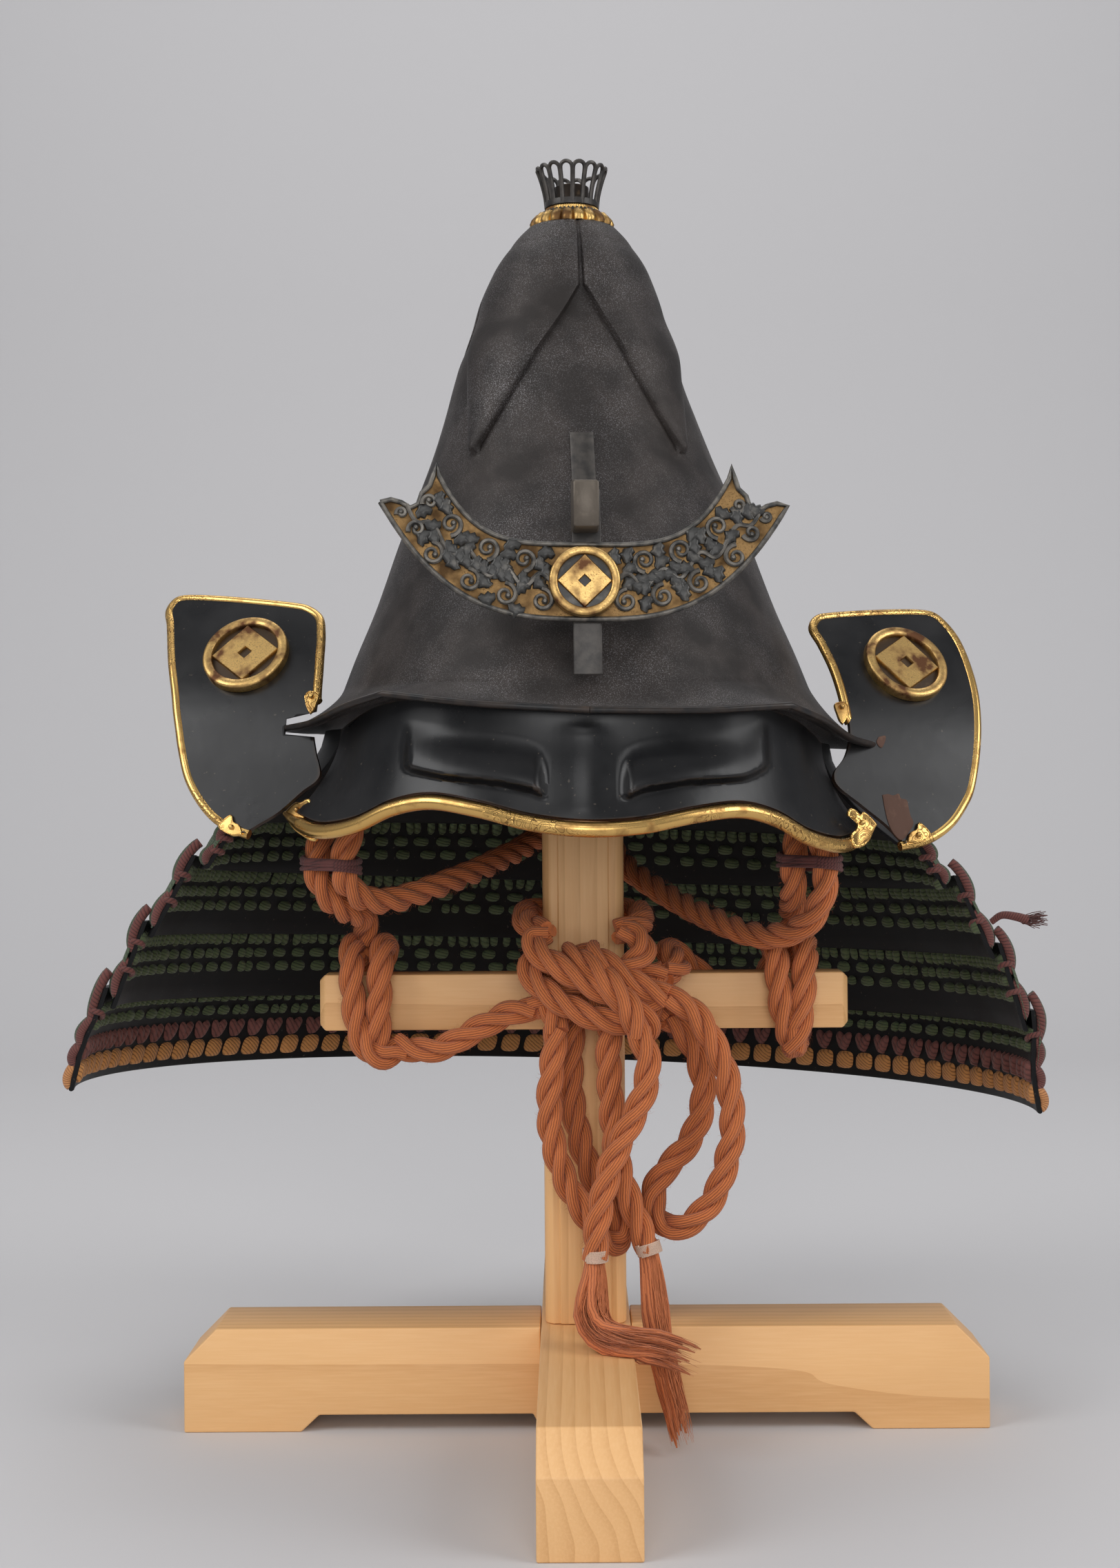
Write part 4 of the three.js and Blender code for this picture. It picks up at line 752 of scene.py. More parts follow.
def add_turns(name, node, turns, seed):
    form = Form()
    for number, turn in enumerate(turns):
        run = smooth_run([Vector(p) * MM for p in turn], 1.4 * MM)
        add_twist(form, run, ROPE_DIAMETER, ROPE_PITCH, start=number * 0.7 + seed,
                  fuzz=int(len(run) * 5), seed=seed + number)
    piece = form.piece(name, "rope")
    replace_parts(piece, node)
    return piece


def add_binding(name, node, centres):
    """A braid wound three times round two strands."""
    first, second = (Vector(c) * MM for c in centres)
    form = Form()
    along = (second - first).normalized()
    over = Vector((0, 0, 1))
    side = over.cross(along)
    reach = ROPE_DIAMETER / 2 + 0.9 * MM
    for turn in range(3):
        height = (turn - 1) * 2.3 * MM
        line = []
        for k in range(33):
            a = 2 * math.pi * k / 32
            centre = second if math.cos(a) > 0 else first
            pinch = 0.8 * MM * abs(math.cos(a)) ** 0.5
            tilt = over * (height + 1.1 * MM * math.sin(a + turn))
            line.append(centre + along * (math.cos(a) * reach) + side
                        * (math.sin(a) * (reach - pinch * 0.4)) + tilt)
        add_tube(form, line, 1.35 * MM, 7, scale=(1.2 * MM, 1 / 7), squash=0.7)
    piece = form.piece(name, "maroon")
    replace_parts(piece, node)
    return piece


def add_whipping(name, top, direction):
    """Pale thread wound round the end of a rope."""
    form = Form()
    ahead = Vector(direction).normalized()
    across = ahead.orthogonal().normalized()
    over = ahead.cross(across)
    line = []
    for k in range(12 * 8 + 1):
        a = 2 * math.pi * k / 12
        line.append(Vector(top) * MM + ahead * (k / 12 * 0.62 * MM)
                    + (across * math.cos(a) + over * math.sin(a)) * 5.4 * MM)
    add_tube(form, line, 0.42 * MM, 5, scale=(2 * MM, 0.2))
    return form.piece(name, "whipping")


def add_tassel(name, node, line, spread_to, floor_under, strands, seed):
    """Unlaid yarn below the whipping: thick locks with many loose fibres over them."""
    pick = random.Random(seed)
    run = smooth_run([Vector(p) * MM for p in line], 1.5 * MM)
    frames = carried_frames(run)
    count = len(run) - 1
    form = Form()
    for number in range(strands):
        thick = number < 16
        angle = pick.uniform(0, 2 * math.pi)
        reach = pick.uniform(0.35, 1.0) if thick else pick.uniform(0.8, 1.15)
        wander, sway = pick.uniform(-1, 1), pick.uniform(1.5, 4)
        last = pick.uniform(0.8, 1.0) if thick else pick.uniform(0.55, 1.0)
        steps = 16
        points = []
        for k in range(steps + 1):
            t = last * k / steps
            i = min(int(t * count), count)
            _, across, over = frames[i]
            opened = min(1.0, t * 3.2)
            radius = (2.6 + (spread_to - 2.6) * opened) * reach * MM
            a = angle + wander * t * 1.6
            drift = math.sin(t * sway * math.pi + angle) * 1.1 * MM * opened
            p = run[i] + across * (radius * math.cos(a) + drift) + over * (radius * math.sin(a))
            p.z = max(p.z, floor_under(p) + (1.6 if thick else 0.5) * MM)
            points.append(p)
        width = pick.uniform(1.5, 2.3) * MM if thick else pick.uniform(0.16, 0.34) * MM
        add_tube(form, points, lambda t,
                 w=width: w * (1.0 if t < 0.75 else 1.0 - 0.85 * (t - 0.75) / 0.25),
                 7 if thick else 3,
                 scale=(run_length(points) / steps, 1 / 7))
    piece = form.piece(name, "tassel")
    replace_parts(piece, node)
    return piece


def on_front_beam(point):
    """Height of what lies under the front tassel: the beam, or the surface beside it."""
    return 46.2 * MM if abs(point.x) < 20.5 * MM else 0.0


# ---- the neck guard ------------------------------------------------------------------------------
# Heights at the front ends and at the back, half-widths, half-depths and where the ends stand,
# upper edge first.
LAMES = {
    "lame_1": {"end": (307.5, 265), "back": (306, 265), "width": (113, 148), "depth": (125, 147),
               "front": -55, "flare": 1.7},
    "lame_2": {"end": (263.5, 246.4), "back": (272, 235.5), "width": (157, 167),
               "depth": (152.5, 164), "front": -47},
    "lame_3": {"end": (251.7, 216.3), "back": (241.5, 203.5), "width": (171.5, 188.5),
               "depth": (169, 182), "front": -43},
    "lame_4": {"end": (222.5, 184.8), "back": (209.5, 170.5), "width": (191, 203.5),
               "depth": (187, 195.5), "front": -40},
    "lame_5": {"end": (193.3, 148.8), "back": (178.5, 136.5), "width": (206.5, 215.5),
               "depth": (200.5, 206.5), "front": -38, "shift": -4.8},
}
LAME_WALL = 2.4
ABOVE = {"lame_2": "lame_1", "lame_3": "lame_2", "lame_4": "lame_3", "lame_5": "lame_4"}
STITCH_PITCH = 12.6  # millimetres from one stitch to the next


def mix(a, b, t):
    return a + (b - a) * t


def lame_place(lame, u, v, out=0.0):
    """A point of a lame's outer face: u runs round from the left end, v down from the upper edge."""
    share = max(v, 0.0) ** lame.get("flare", 1) if v >= 0 else v
    wide, deep = mix(*lame["width"], share), mix(*lame["depth"], share)
    start = math.acos(-lame["front"] / deep)
    a = mix(start, 2 * math.pi - start, u)
    y = -(deep + out) * math.cos(a)
    back = min(max((y - lame["front"]) / (deep + out - lame["front"]), 0), 1)
    z = mix(mix(lame["end"][0], lame["back"][0], back), mix(lame["end"][1], lame["back"][1], back),
            v)
    return Vector((-(wide + out) * math.sin(a) + lame.get("shift", 0) * step(1.4 * v), y, z)) * MM


def lame_frame(lame, u, v, out):
    """A point with the directions along, up and out of the lame there."""
    p = lame_place(lame, u, v, out)
    along = (lame_place(lame, min(u + 0.002, 1), v, out)
             - lame_place(lame, max(u - 0.002, 0), v, out)).normalized()
    up = (lame_place(lame, u, v - 0.02, out) - lame_place(lame, u, v + 0.02, out)).normalized()
    return p, along, up, up.cross(along).normalized()


def row_share(lame, u, height):
    """The v at which a lame's face is at a height."""
    high, low = lame_place(lame, u, 0).z, lame_place(lame, u, 1).z
    return (high - height) / (high - low)


def add_pad(form, centre, along, up, out, size, rings=4, sides=12, lean=0.0, power=1.0):
    """A small cushion of thread; its map runs along it in metres and up it from 0 to 1."""
    width, height, depth = (s * MM for s in size)
    start = len(form.points)
    spots = []
    for ring in range(rings + 1):
        r = ring / rings
        for k in range(sides if ring else 1):
            a = 2 * math.pi * k / sides
            ca, sa = math.cos(a), math.sin(a)
            x = math.copysign(abs(ca) ** power, ca) * r * width / 2
            y = math.copysign(abs(sa) ** power, sa) * r * height / 2
            x += lean * y
            z = depth * math.sqrt(max(0.0, 1 - r ** 2.4)) - (0.3 * depth if ring == rings else 0)
            form.points.append(centre + along * x + up * y + out * z)
            spots.append((x, y / height + 0.5))
    for k in range(sides):
        faces = [(0, 1 + k, 1 + (k + 1) % sides)]
        for ring in range(1, rings):
            a, b = 1 + (ring - 1) * sides, 1 + ring * sides
            faces.append((a + k, b + k, b + (k + 1) % sides, a + (k + 1) % sides))
        for face in faces:
            form.faces.append(tuple(start + i for i in face))
            form.maps.append([spots[i] for i in face])


def lame_length(lame):
    points = [lame_place(lame, i / 60, 0.5) for i in range(61)]
    return run_length(points) / MM


def add_lame(name):
    lame = LAMES[name]
    rows = 6
    section = [(i / rows, 0.0) for i in range(rows + 1)]
    section += [(1.012, -0.5), (1.016, -LAME_WALL / 2), (1.012, 0.5 - LAME_WALL)]
    section += [(1 - i / rows, -LAME_WALL) for i in range(rows + 1)]
    section += [(0.0, -LAME_WALL * 0.75), (0.0, -LAME_WALL * 0.25)]
    form = Form()
    stations = [0, 0.0012, 0.003] + [0.006 + 0.988 * i / 110
                                     for i in range(111)] + [0.997, 0.9988, 1]
    grid = []
    for u in stations:
        thin = 0.75 if u in (0, 1) else 1.0
        grid.append([lame_place(lame, u, v, (out + LAME_WALL / 2) * thin - LAME_WALL / 2) for v,
                     out in section])
    form.add_grid(grid, closed_columns=True, caps=True)
    piece = form.piece(name + "_plate", "lacquer_inside", placed=LOWER)
    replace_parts(piece, name)


def add_inside_stitches(name):
    """The rows of stitches and the fringe that show inside the neck guard."""
    lame, above = LAMES[name], LAMES[ABOVE[name]]
    count = round(lame_length(lame) / STITCH_PITCH)
    pick = random.Random(name)
    last = name == "lame_5"
    drops = (7.8,) if last else (10.3, 17.2)
    green, maroon, orange = Form(), Form(), Form()

    def edge_height(u):
        return lame_place(above, u, 1.0).z

    for k in range(count):
        u = (k + 0.5) / count
        for number, drop in enumerate(drops):
            here = u + (0.12 * pick.uniform(-1, 1) + 0.25 * number) / count
            v = row_share(lame, here, edge_height(here) - drop * MM)
            p, along, up, out = lame_frame(lame, here, v, -LAME_WALL)
            twin = pick.random() < 0.12
            for shift in ((-2.6, 2.6) if twin else (0,)):
                size = ((5.2 if twin else 9.4) * pick.uniform(0.88, 1.08),
                        5.9 * pick.uniform(0.9, 1.1), 2.4)
                add_pad(green, p + along * shift * MM, along, up, -out, size, power=0.85)
        if last:
            v = row_share(lame, u, lame_place(lame, u, 1).z + 17.2 * MM)
            p, along, up, out = lame_frame(lame, u, v, -LAME_WALL)
            for lean in (-0.35, 0.35):
                add_pad(maroon, p + along * lean * 4 * MM, along, up, -out, (6.0, 10.6, 2.4 + lean),
                        lean=lean, power=0.8)
            v = row_share(lame, u, lame_place(lame, u, 1).z + 7.4 * MM)
            p, along, up, out = lame_frame(lame, u, v, -LAME_WALL)
            size = (11.4 * pick.uniform(0.93, 1.02), 10.4 * pick.uniform(0.94, 1.04), 2.6)
            add_pad(orange, p, along, up, -out, size, rings=5, sides=16, lean=0.18, power=0.62)
    teeth = count * 2
    for k in range(teeth):
        u = (k + 0.5 + pick.uniform(-0.2, 0.2)) / teeth
        v = row_share(lame, u, edge_height(u) - (1.2 if last else 2.6) * MM)
        p, along, up, out = lame_frame(lame, u, v, -LAME_WALL)
        height = 9.0 * pick.uniform(0.8, 1.15) * (0.6 if last else 1)
        add_pad(green, p, along, up, -out, (6.1 * pick.uniform(0.75, 1.05), height, 2.1), rings=3,
                sides=9,
                lean=pick.uniform(-0.25, 0.25), power=0.8)
    green.piece("inside_stitches_" + name[-1], "green_ribs", placed=LOWER)
    if last:
        maroon.piece("inside_knots", "maroon_ribs", placed=LOWER)
        orange.piece("inside_hem_stitches", "orange_ribs", placed=LOWER)


def add_outside_laces(name):
    """Upright laces side by side down the outside of a lame."""
    lame = LAMES[name]
    last = name == "lame_5"
    count = round(lame_length(lame) / (STITCH_PITCH / 2))
    pick = random.Random(name + "laces")
    form = Form()
    low_end = 0.55 if last else 0.9
    for k in range(count):
        u = (k + 0.5 + pick.uniform(-0.06, 0.06)) / count
        half = 0.46 / count
        lean = pick.uniform(-0.08, 0.08) / count
        rows = []
        for i in range(8):
            t = i / 7
            v = mix(0.04, low_end, t)
            tuck = math.sin(math.pi * min(1, max(0, t))) ** 0.35
            rows.append([
                lame_place(lame, min(max(u + lean * t + half * x, 0), 1), v,
                           0.4 + 1.9 * tuck * math.sqrt(max(0, 1 - (x * 0.96) ** 2)))
                for x in (-1, -0.8, -0.3, 0.3, 0.8, 1)
            ])
        start = len(form.faces)
        form.add_grid(rows)
        for index in range(start, len(form.faces)):
            i, j = divmod(index - start, 5)
            spots = ((i, j), (i, j + 1), (i + 1, j + 1), (i + 1, j))
            form.maps[index] = [(b / 5 * 5.8 * MM, a / 7) for a, b in spots]
    piece = form.piece("laces_" + name[-1], "green_braid", placed=LOWER)
    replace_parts(piece, "lacing_" + name[-1])
    if not last:
        return
    maroon, orange = Form(), Form()
    for k in range(count // 2):
        u = (k + 0.5) / (count // 2)
        p, along, up, out = lame_frame(lame, u, 0.66, 0.2)
        for lean in (-0.5, 0.5):
            add_pad(maroon, p, along, up, out, (6.5, 9.5, 1.8 + 0.4 * lean), lean=lean, power=0.8)
        p, along, up, out = lame_frame(lame, u, 0.86, 0.2)
        add_pad(orange, p, along, up, out, (11, 9.5, 2.3), rings=5, sides=16, lean=0.18, power=0.65)
    maroon.piece("outside_knots", "maroon_ribs", placed=LOWER)
    orange.piece("outside_hem_stitches", "orange_ribs", placed=LOWER)


def add_edge_laces():
    """The laces that bulge over the front ends of the lames."""
    green, maroon, orange = Form(), Form(), Form()
    for name in list(LAMES)[1:]:
        lame = LAMES[name]
        length = lame_length(lame)
        for side in (0, 1):
            for v0, v1 in ((-0.16, 0.34), (0.45, 0.86)):
                if name == "lame_5" and v0 > 0:
                    v0, v1 = 0.3, 0.56
                for form, inset, reach in ((maroon, 2.2, 1.2), (green, 6.0, 1.9)):
                    u = abs(side - inset / length)
                    line = [lame_place(lame, u, mix(v0, v1, t),
                                       -1.0 + (reach + 1.6) * math.sin(math.pi * t) ** 0.7)
                            for t in [i / 14 for i in range(15)]]
                    add_tube(form, line, 2.2 * MM, 9, scale=(1.4 * MM, 1 / 9), squash=0.9)
            for v in (0.3, 0.62) if name != "lame_5" else (0.3,):
                u0 = abs(side - 7 / length)
                path = [(u0, v, -LAME_WALL - 1.1),
                        (abs(side - 3 / length), v - 0.02, -LAME_WALL - 1.6),
                        (abs(side - 0.2 / length), v - 0.05, -LAME_WALL - 0.4),
                        (abs(side - 0.2 / length), v - 0.07, 0.8),
                        (abs(side - 4 / length), v - 0.08, 1.4)]
                add_tube(maroon, smooth_run([lame_place(lame, *p) for p in path], 1.2 * MM),
                         1.3 * MM, 8, scale=(1.2 * MM, 0.125))
            if name == "lame_5":
                for v0, v1, form, reach in ((0.58, 0.76, maroon, 1.4), (0.78, 0.97, orange, 1.2)):
                    for inset in (2.6, 8.5):
                        u = abs(side - inset / length)
                        line = [lame_place(lame, u, mix(v0, v1, t),
                                           -0.6 + (reach + 1) * math.sin(math.pi * t) ** 0.6)
                                for t in [i / 12 for i in range(13)]]
                        add_tube(form, line, 2.5 * MM, 9, scale=(1.2 * MM, 1 / 9), squash=0.8)
    green.piece("edge_laces_green", "green_braid", placed=LOWER)
    maroon.piece("edge_laces_maroon", "maroon_braid", placed=LOWER)
    orange.piece("edge_laces_orange", "orange_braid", placed=LOWER)


def add_frayed_end():
    """A broken lace that sticks out of the right edge, frayed at its end."""
    form = Form()
    line = smooth_run([Vector(p) * MM for p in ((176, -43, 226), (180, -45, 229), (186, -47, 228.5),
                                                (191, -48, 227))], 1 * MM)
    add_tube(form, line, lambda t: mix(1.5, 2.2, t) * MM, 9, scale=(1.4 * MM, 1 / 9), squash=0.8)
    pick = random.Random(41)
    for _ in range(46):
        root = line[-1] + Vector((pick.uniform(-3, 0), pick.uniform(-1.2, 1.2),
                                  pick.uniform(-1.9, 1.9))) * MM
        tip = root + Vector((pick.uniform(4, 9), pick.uniform(-2, 2), pick.uniform(-3.2, 2.2))) * MM
        middle = root.lerp(tip, 0.5) + Vector((0, 0, pick.uniform(-0.8, 0.8))) * MM
        add_tube(form, [root, middle, tip], 0.2 * MM, 3, scale=(3 * MM, 1 / 3))
    form.piece("frayed_lace_end", "maroon_braid")


def add_neck_guard():
    for name in LAMES:
        add_lame(name)
        if name in ABOVE:
            add_inside_stitches(name)
            add_outside_laces(name)
    add_edge_laces()
    add_frayed_end()


# ---- the bowl ------------------------------------------------------------------------------------
BOWL_PROFILE = [
    (329, 104.7), (343, 99.2), (364, 90.2), (397, 78), (435, 62.4), (460, 53.7), (490, 44.9),
    (515.5, 36.2), (531, 28.4),
    (538.3, 20.5), (540.6, 17), (541.5, 8.4),
]
FLANGE_FRONT = [(0, 0, -125, 317.2), (2, 41, -120.5, 318.4), (4, 82, -107, 322)]
FLANGE_SIDE = [
    (4, 82, -107, 322), (5, 97, -91, 317.5), (7, 116, -61, 310), (8, 127, -45, 308),
    (9, 122, -20, 308), (10, 118, 5, 308.5),
    (12, 112, 50, 309), (14, 97, 88, 309), (16, 73, 112, 309), (18, 38, 129, 309),
    (20, 0, 134, 309),
]
# How far the bowl leans to the wearer's right with height.
BOWL_LEAN = [(329, 0), (380, -0.3), (432, -1.1), (450, -1.7), (467, -2.4), (503, -2.0),
             (541.5, -0.6)]
LEAF = {"tip": 427, "apex": 507, "spread": 45.9, "even": 390, "puff": 2.9, "sunk": 3.4}
IRON_WALL = 2.2
TOP_SETTLE = 3  # the dome is a little flatter than its solid
GROUND_SHARES = (0, 0.3, 0.6, 0.85, 0.97)
LEAF_SHARES = tuple(0.5 - 0.5 * math.cos(math.pi * k / 22) for k in range(23))


def curve_at(table, x):
    """A smooth curve through (x, value) pairs in rising order of x, without overshoot."""
    k = max(0, min(len(table) - 2, sum(row[0] <= x for row in table) - 1))
    (x0, y0), (x1, y1) = table[k], table[k + 1]
    slope = (y1 - y0) / (x1 - x0)

    def bend(other):
        return 2 * slope * other / (slope + other) if slope * other > 0 else 0.0

    m0 = bend((y0 - table[k - 1][1]) / (x0 - table[k - 1][0])) if k else slope
    m1 = bend((table[k + 2][1] - y1) / (table[k + 2][0] - x1)) if k + 2 < len(table) else slope
    h = x1 - x0
    t = min(max((x - x0) / h, 0), 1)
    return (y0 * (1 + 2 * t) + m0 * h * t) * (1 - t) ** 2 + (y1 * (3 - 2 * t) - m1 * h
                                                             * (1 - t)) * t * t


def step(t):
    t = min(max(t, 0.0), 1.0)
    return t * t * (3 - 2 * t)


def oval_point(z, degrees, rise):
    share = min(max((538 - z) / 209, 0), 1)
    half = curve_at(BOWL_PROFILE, z)
    a = math.radians(degrees)
    x = (half + rise) * math.sin(a) + curve_at(BOWL_LEAN, z)
    y = 3 * share - (half * mix(1, 1.12, share) + rise) * math.cos(a)
    return Vector((x, y, z - TOP_SETTLE * step((z - 470) / 60))) * MM


def notch_angle(z):
    if z <= LEAF["tip"]:
        return 44.6
    half = curve_at(BOWL_PROFILE, z)
    reach = (LEAF["apex"] - z) / (LEAF["apex"] - LEAF["tip"]) * LEAF["spread"] / half
    return min(max(math.degrees(math.asin(min(max(reach, 0), 1))), 1.1), 44.6)


def leaf_rise(z, share):
    """How far a leaf stands out: steep at its edges, rounded on top, running out to its tip."""
    if z < LEAF["tip"]:
        return 0.0
    half = curve_at(BOWL_PROFILE, z)
    breadth = math.radians(90 - 2 * notch_angle(z)) * half
    from_edge = breadth * min(share, 1 - share)
    shoulder = max(min(15.0, breadth / 2), 0.5)
    t = min(from_edge / shoulder, 1)
    fade = min(1, breadth / 4.5) * step((z - LEAF["tip"]) / 4) * (0.35 + 0.65
                                                                  * step((541 - z) / 24))
    return (1.7 * step(from_edge / 0.9) + LEAF["puff"] * math.sqrt(1 - (1 - t) ** 2)) * fade


def bowl_columns():
    """Each column's quarter, its place in ground or leaf, and in an even spacing of 10 a quarter."""
    marks = [("ground", share, 2 * share) for share in GROUND_SHARES]
    marks += [("leaf", share, 2 + 6 * share) for share in LEAF_SHARES]
    marks += [("far", share, 10 - 2 * share) for share in reversed(GROUND_SHARES[1:])]
    return [(quarter, *mark) for quarter in range(4) for mark in marks]


def settled(z):
    """How far the ground between the leaves lies inside the bowl's outline."""
    return LEAF["sunk"] * step((z - 472) / 26) * step((541 - z) / 12)


def bowl_point(z, column):
    quarter, kind, share, place_in = column
    n = notch_angle(z)
    angle = {"ground": n * share, "leaf": mix(n, 90 - n, share), "far": 90 - n * share}[kind]
    even = min(max((LEAF["tip"] + 4 - z) / (LEAF["tip"] + 4 - LEAF["even"]), 0), 1)
    rise = leaf_rise(z, share) if kind == "leaf" else 0.0
    rise -= settled(z)
    turned = 90 * quarter + mix(angle, place_in * 9, even)
    drawn = 1.9 * math.sin(math.radians(2 * turned)) if quarter in (0, 3) else 0.0
    twist = mix(1.1, 6.5, step((z - LEAF["tip"]) / 80)) - drawn
    return oval_point(z, turned + twist * step((z - 396) / 31), rise)


def flange_point(turn, lower=0.0):
    """The flange's edge, 40 steps to the full turn, rolled as the lower parts are."""
    turn %= 40
    c = 40 - turn if turn > 20 else turn
    table = FLANGE_FRONT if c <= 4 else FLANGE_SIDE
    x, y, z = (curve_at([(row[0], row[k]) for row in table], c) for k in (1, 2, 3))
    p = Vector((-x if turn > 20 else x, y, z - lower)) * MM
    return HELMET.inverted() @ LOWER @ p


def add_bowl():
    form = Form()
    heights = [541.5 - 212.5 * (k / 150) ** 1.35 for k in range(151)]
    flare = [k / 16 for k in range(1, 17)]
    outlines = []
    for column in bowl_columns():
        outer = [bowl_point(z, column) for z in heights]
        base = outer[-1]
        turn = column[0] * 10 + column[3]
        edge = flange_point(turn)
        for t in flare:
            p = base.lerp(edge, t)
            p.z = mix(base.z, edge.z, 1 - (1 - t) ** 1.7)
            outer.append(p)
        under = [flange_point(turn, IRON_WALL)]
        for t in reversed(flare[:-1]):
            p = base.lerp(edge, t)
            p.z = mix(base.z, edge.z, 1 - (1 - t) ** 1.7) - IRON_WALL * MM * 1.15
            under.append(p)
        inner = [oval_point(min(z, 538), turn * 9, -IRON_WALL - settled(z))
                 for z in (329, 350, 372, 395, 418, 440, 455, 475, 496, 515, 529)]
        last = oval_point(541.5, turn * 9, -0.3)
        last.z = 538.6 * MM
        outlines.append(outer + under + inner + [last])
    form.add_grid(outlines, closed_rows=True, closed_columns=True)
    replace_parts(form.piece("bowl_plate", "iron", placed=HELMET), "bowl")
    edge = Form()
    line = [flange_point(40 * k / 200, 1.0) for k in range(201)]
    add_tube(edge, line, 1.45 * MM, 8)
    edge.piece("flange_roll", "lacquer", placed=HELMET)


# ---- the visor -----------------------------------------------------------------------------------
VISOR_TOP = [
    (0, -117.5, 314.2), (20, -116, 314.6), (41, -112, 315.6), (60, -106, 317), (74, -97, 317.6),
    (87, -83, 314.5),
    (96.5, -69, 309.5), (102, -60, 305.5),
]
VISOR_RIM = [
    (0, -131, 269.2), (21.5, -128, 270.9), (43.5, -121, 275.7), (62.6, -112, 278),
    (77.7, -103, 274.8), (93.2, -92, 267.2),
    (108.5, -78, 264.2), (119.5, -63.5, 267.6),
]
RIM_END = (125, -57.5, 271)
RIM_RADIUS = 3
# The lower edge of each brow, from its inner end out, as seen from the front.
BROW_LEFT = [(15.5, 279.5), (21, 283), (35, 285.8), (55, 288.2), (69, 291)]
BROW_RIGHT = [(17.5, 279.8), (23, 282.4), (41, 285.4), (63, 286.8), (74, 291)]
# The leaf-shaped ends of the rim, round the rivet that holds each.
HOOK_LEAF_LEFT = [
    (-7.3, -1.8), (-4.5, 1.3), (-1.5, 3.4), (1.1, 3.4), (4.7, 4.9), (6.8, 2.8), (5.7, 1.3),
    (3.6, 0.2), (4, -2.9),
    (6.2, -5.5), (8.8, -7), (12.5, -7.4), (12.4, -13.1), (8.8, -13), (4.6, -11.2), (0.4, -9),
    (-3.2, -6),
]
HOOK_LEAF_RIGHT = [
    (8.3, -0.8), (5.7, -3.7), (2.8, -7.5), (-0.9, -9.9), (-5.9, -10.4), (-6.7, -4.9), (-3.8, -3.1),
    (-2.5, -0.6),
    (-3.2, 1.9), (-4.8, 3.3), (-6.6, 3.1), (-6, 5.4), (-4.1, 6.4), (-1.8, 5.6), (0.1, 3.7),
    (2, 4.9), (5.3, 2.6),
]
NOTCH_LEAF = [(1, -8.5), (-1, -5.8), (-2.4, -2.6), (-3.3, 0.6), (-1.8, 2.9), (0.5, 2.7), (3, 1.6),
              (2.8, -3.7), (2.2, -6.8)]
TIP_LEAF = [(5.2, -3.1), (1.2, -3.7), (-3.5, -2), (-6.1, 0.1), (-4, 3.7), (-1, 5.6), (0.4, 2.6),
            (3.3, 1.1), (4.7, -1.2)]


def mirrored(table):
    return [(-x, y, z) for x, y, z in reversed(table[1:])] + list(table)


def brow_rise(p):
    """How far the hammered brows stand out, at a point of the whole object in millimetres."""
    x, z = abs(p.x) / MM, p.z / MM
    edge, outer = (BROW_LEFT, 73.5) if p.x < 0 else (BROW_RIGHT, 76.5)
    above = z - curve_at(edge, min(max(x, edge[0][0]), edge[-1][0]))
    inside = (outer - x) * 0.9
    corner = 5.0
    reach = min(above, inside)
    if above < corner and inside < corner:
        reach = corner - math.hypot(corner - above, corner - inside)
    high = 6.4 * step(reach / 3.8) * step((x - 14) / 5)
    fade = 1 - step((above - 4) / 19)
    ridge = 1.3 * math.exp(-((x / 8) ** 2)) * step((z - 270) / 8) * (1 - step((z - 306) / 8))
    return high * fade + ridge


def add_plate(form, grid, thickness):
    """A closed plate: the grid is its outer face, and the inner face lies behind it."""
    def normal(i, j):
        a, b = grid[min(i + 1, len(grid) - 1)][j], grid[max(i - 1, 0)][j]
        c, d = grid[i][min(j + 1, len(grid[0]) - 1)], grid[i][max(j - 1, 0)]
        return (a - b).cross(c - d).normalized()

    outlines = []
    for i, row in enumerate(grid):
        back = [p + normal(i, j) * thickness for j, p in enumerate(row)]
        outlines.append(row + back[::-1])
    form.add_grid(outlines, closed_columns=True, caps=True)


def visor_point(top, low, v):
    """v runs from the visor's upper edge down; it stands ever steeper towards the rim."""
    out = v ** 1.8
    p = Vector((mix(top.x, low.x, out), mix(top.y, low.y, out), mix(top.z, low.z, v)))
    p.y -= brow_rise(LOWER @ p) * MM
    return p


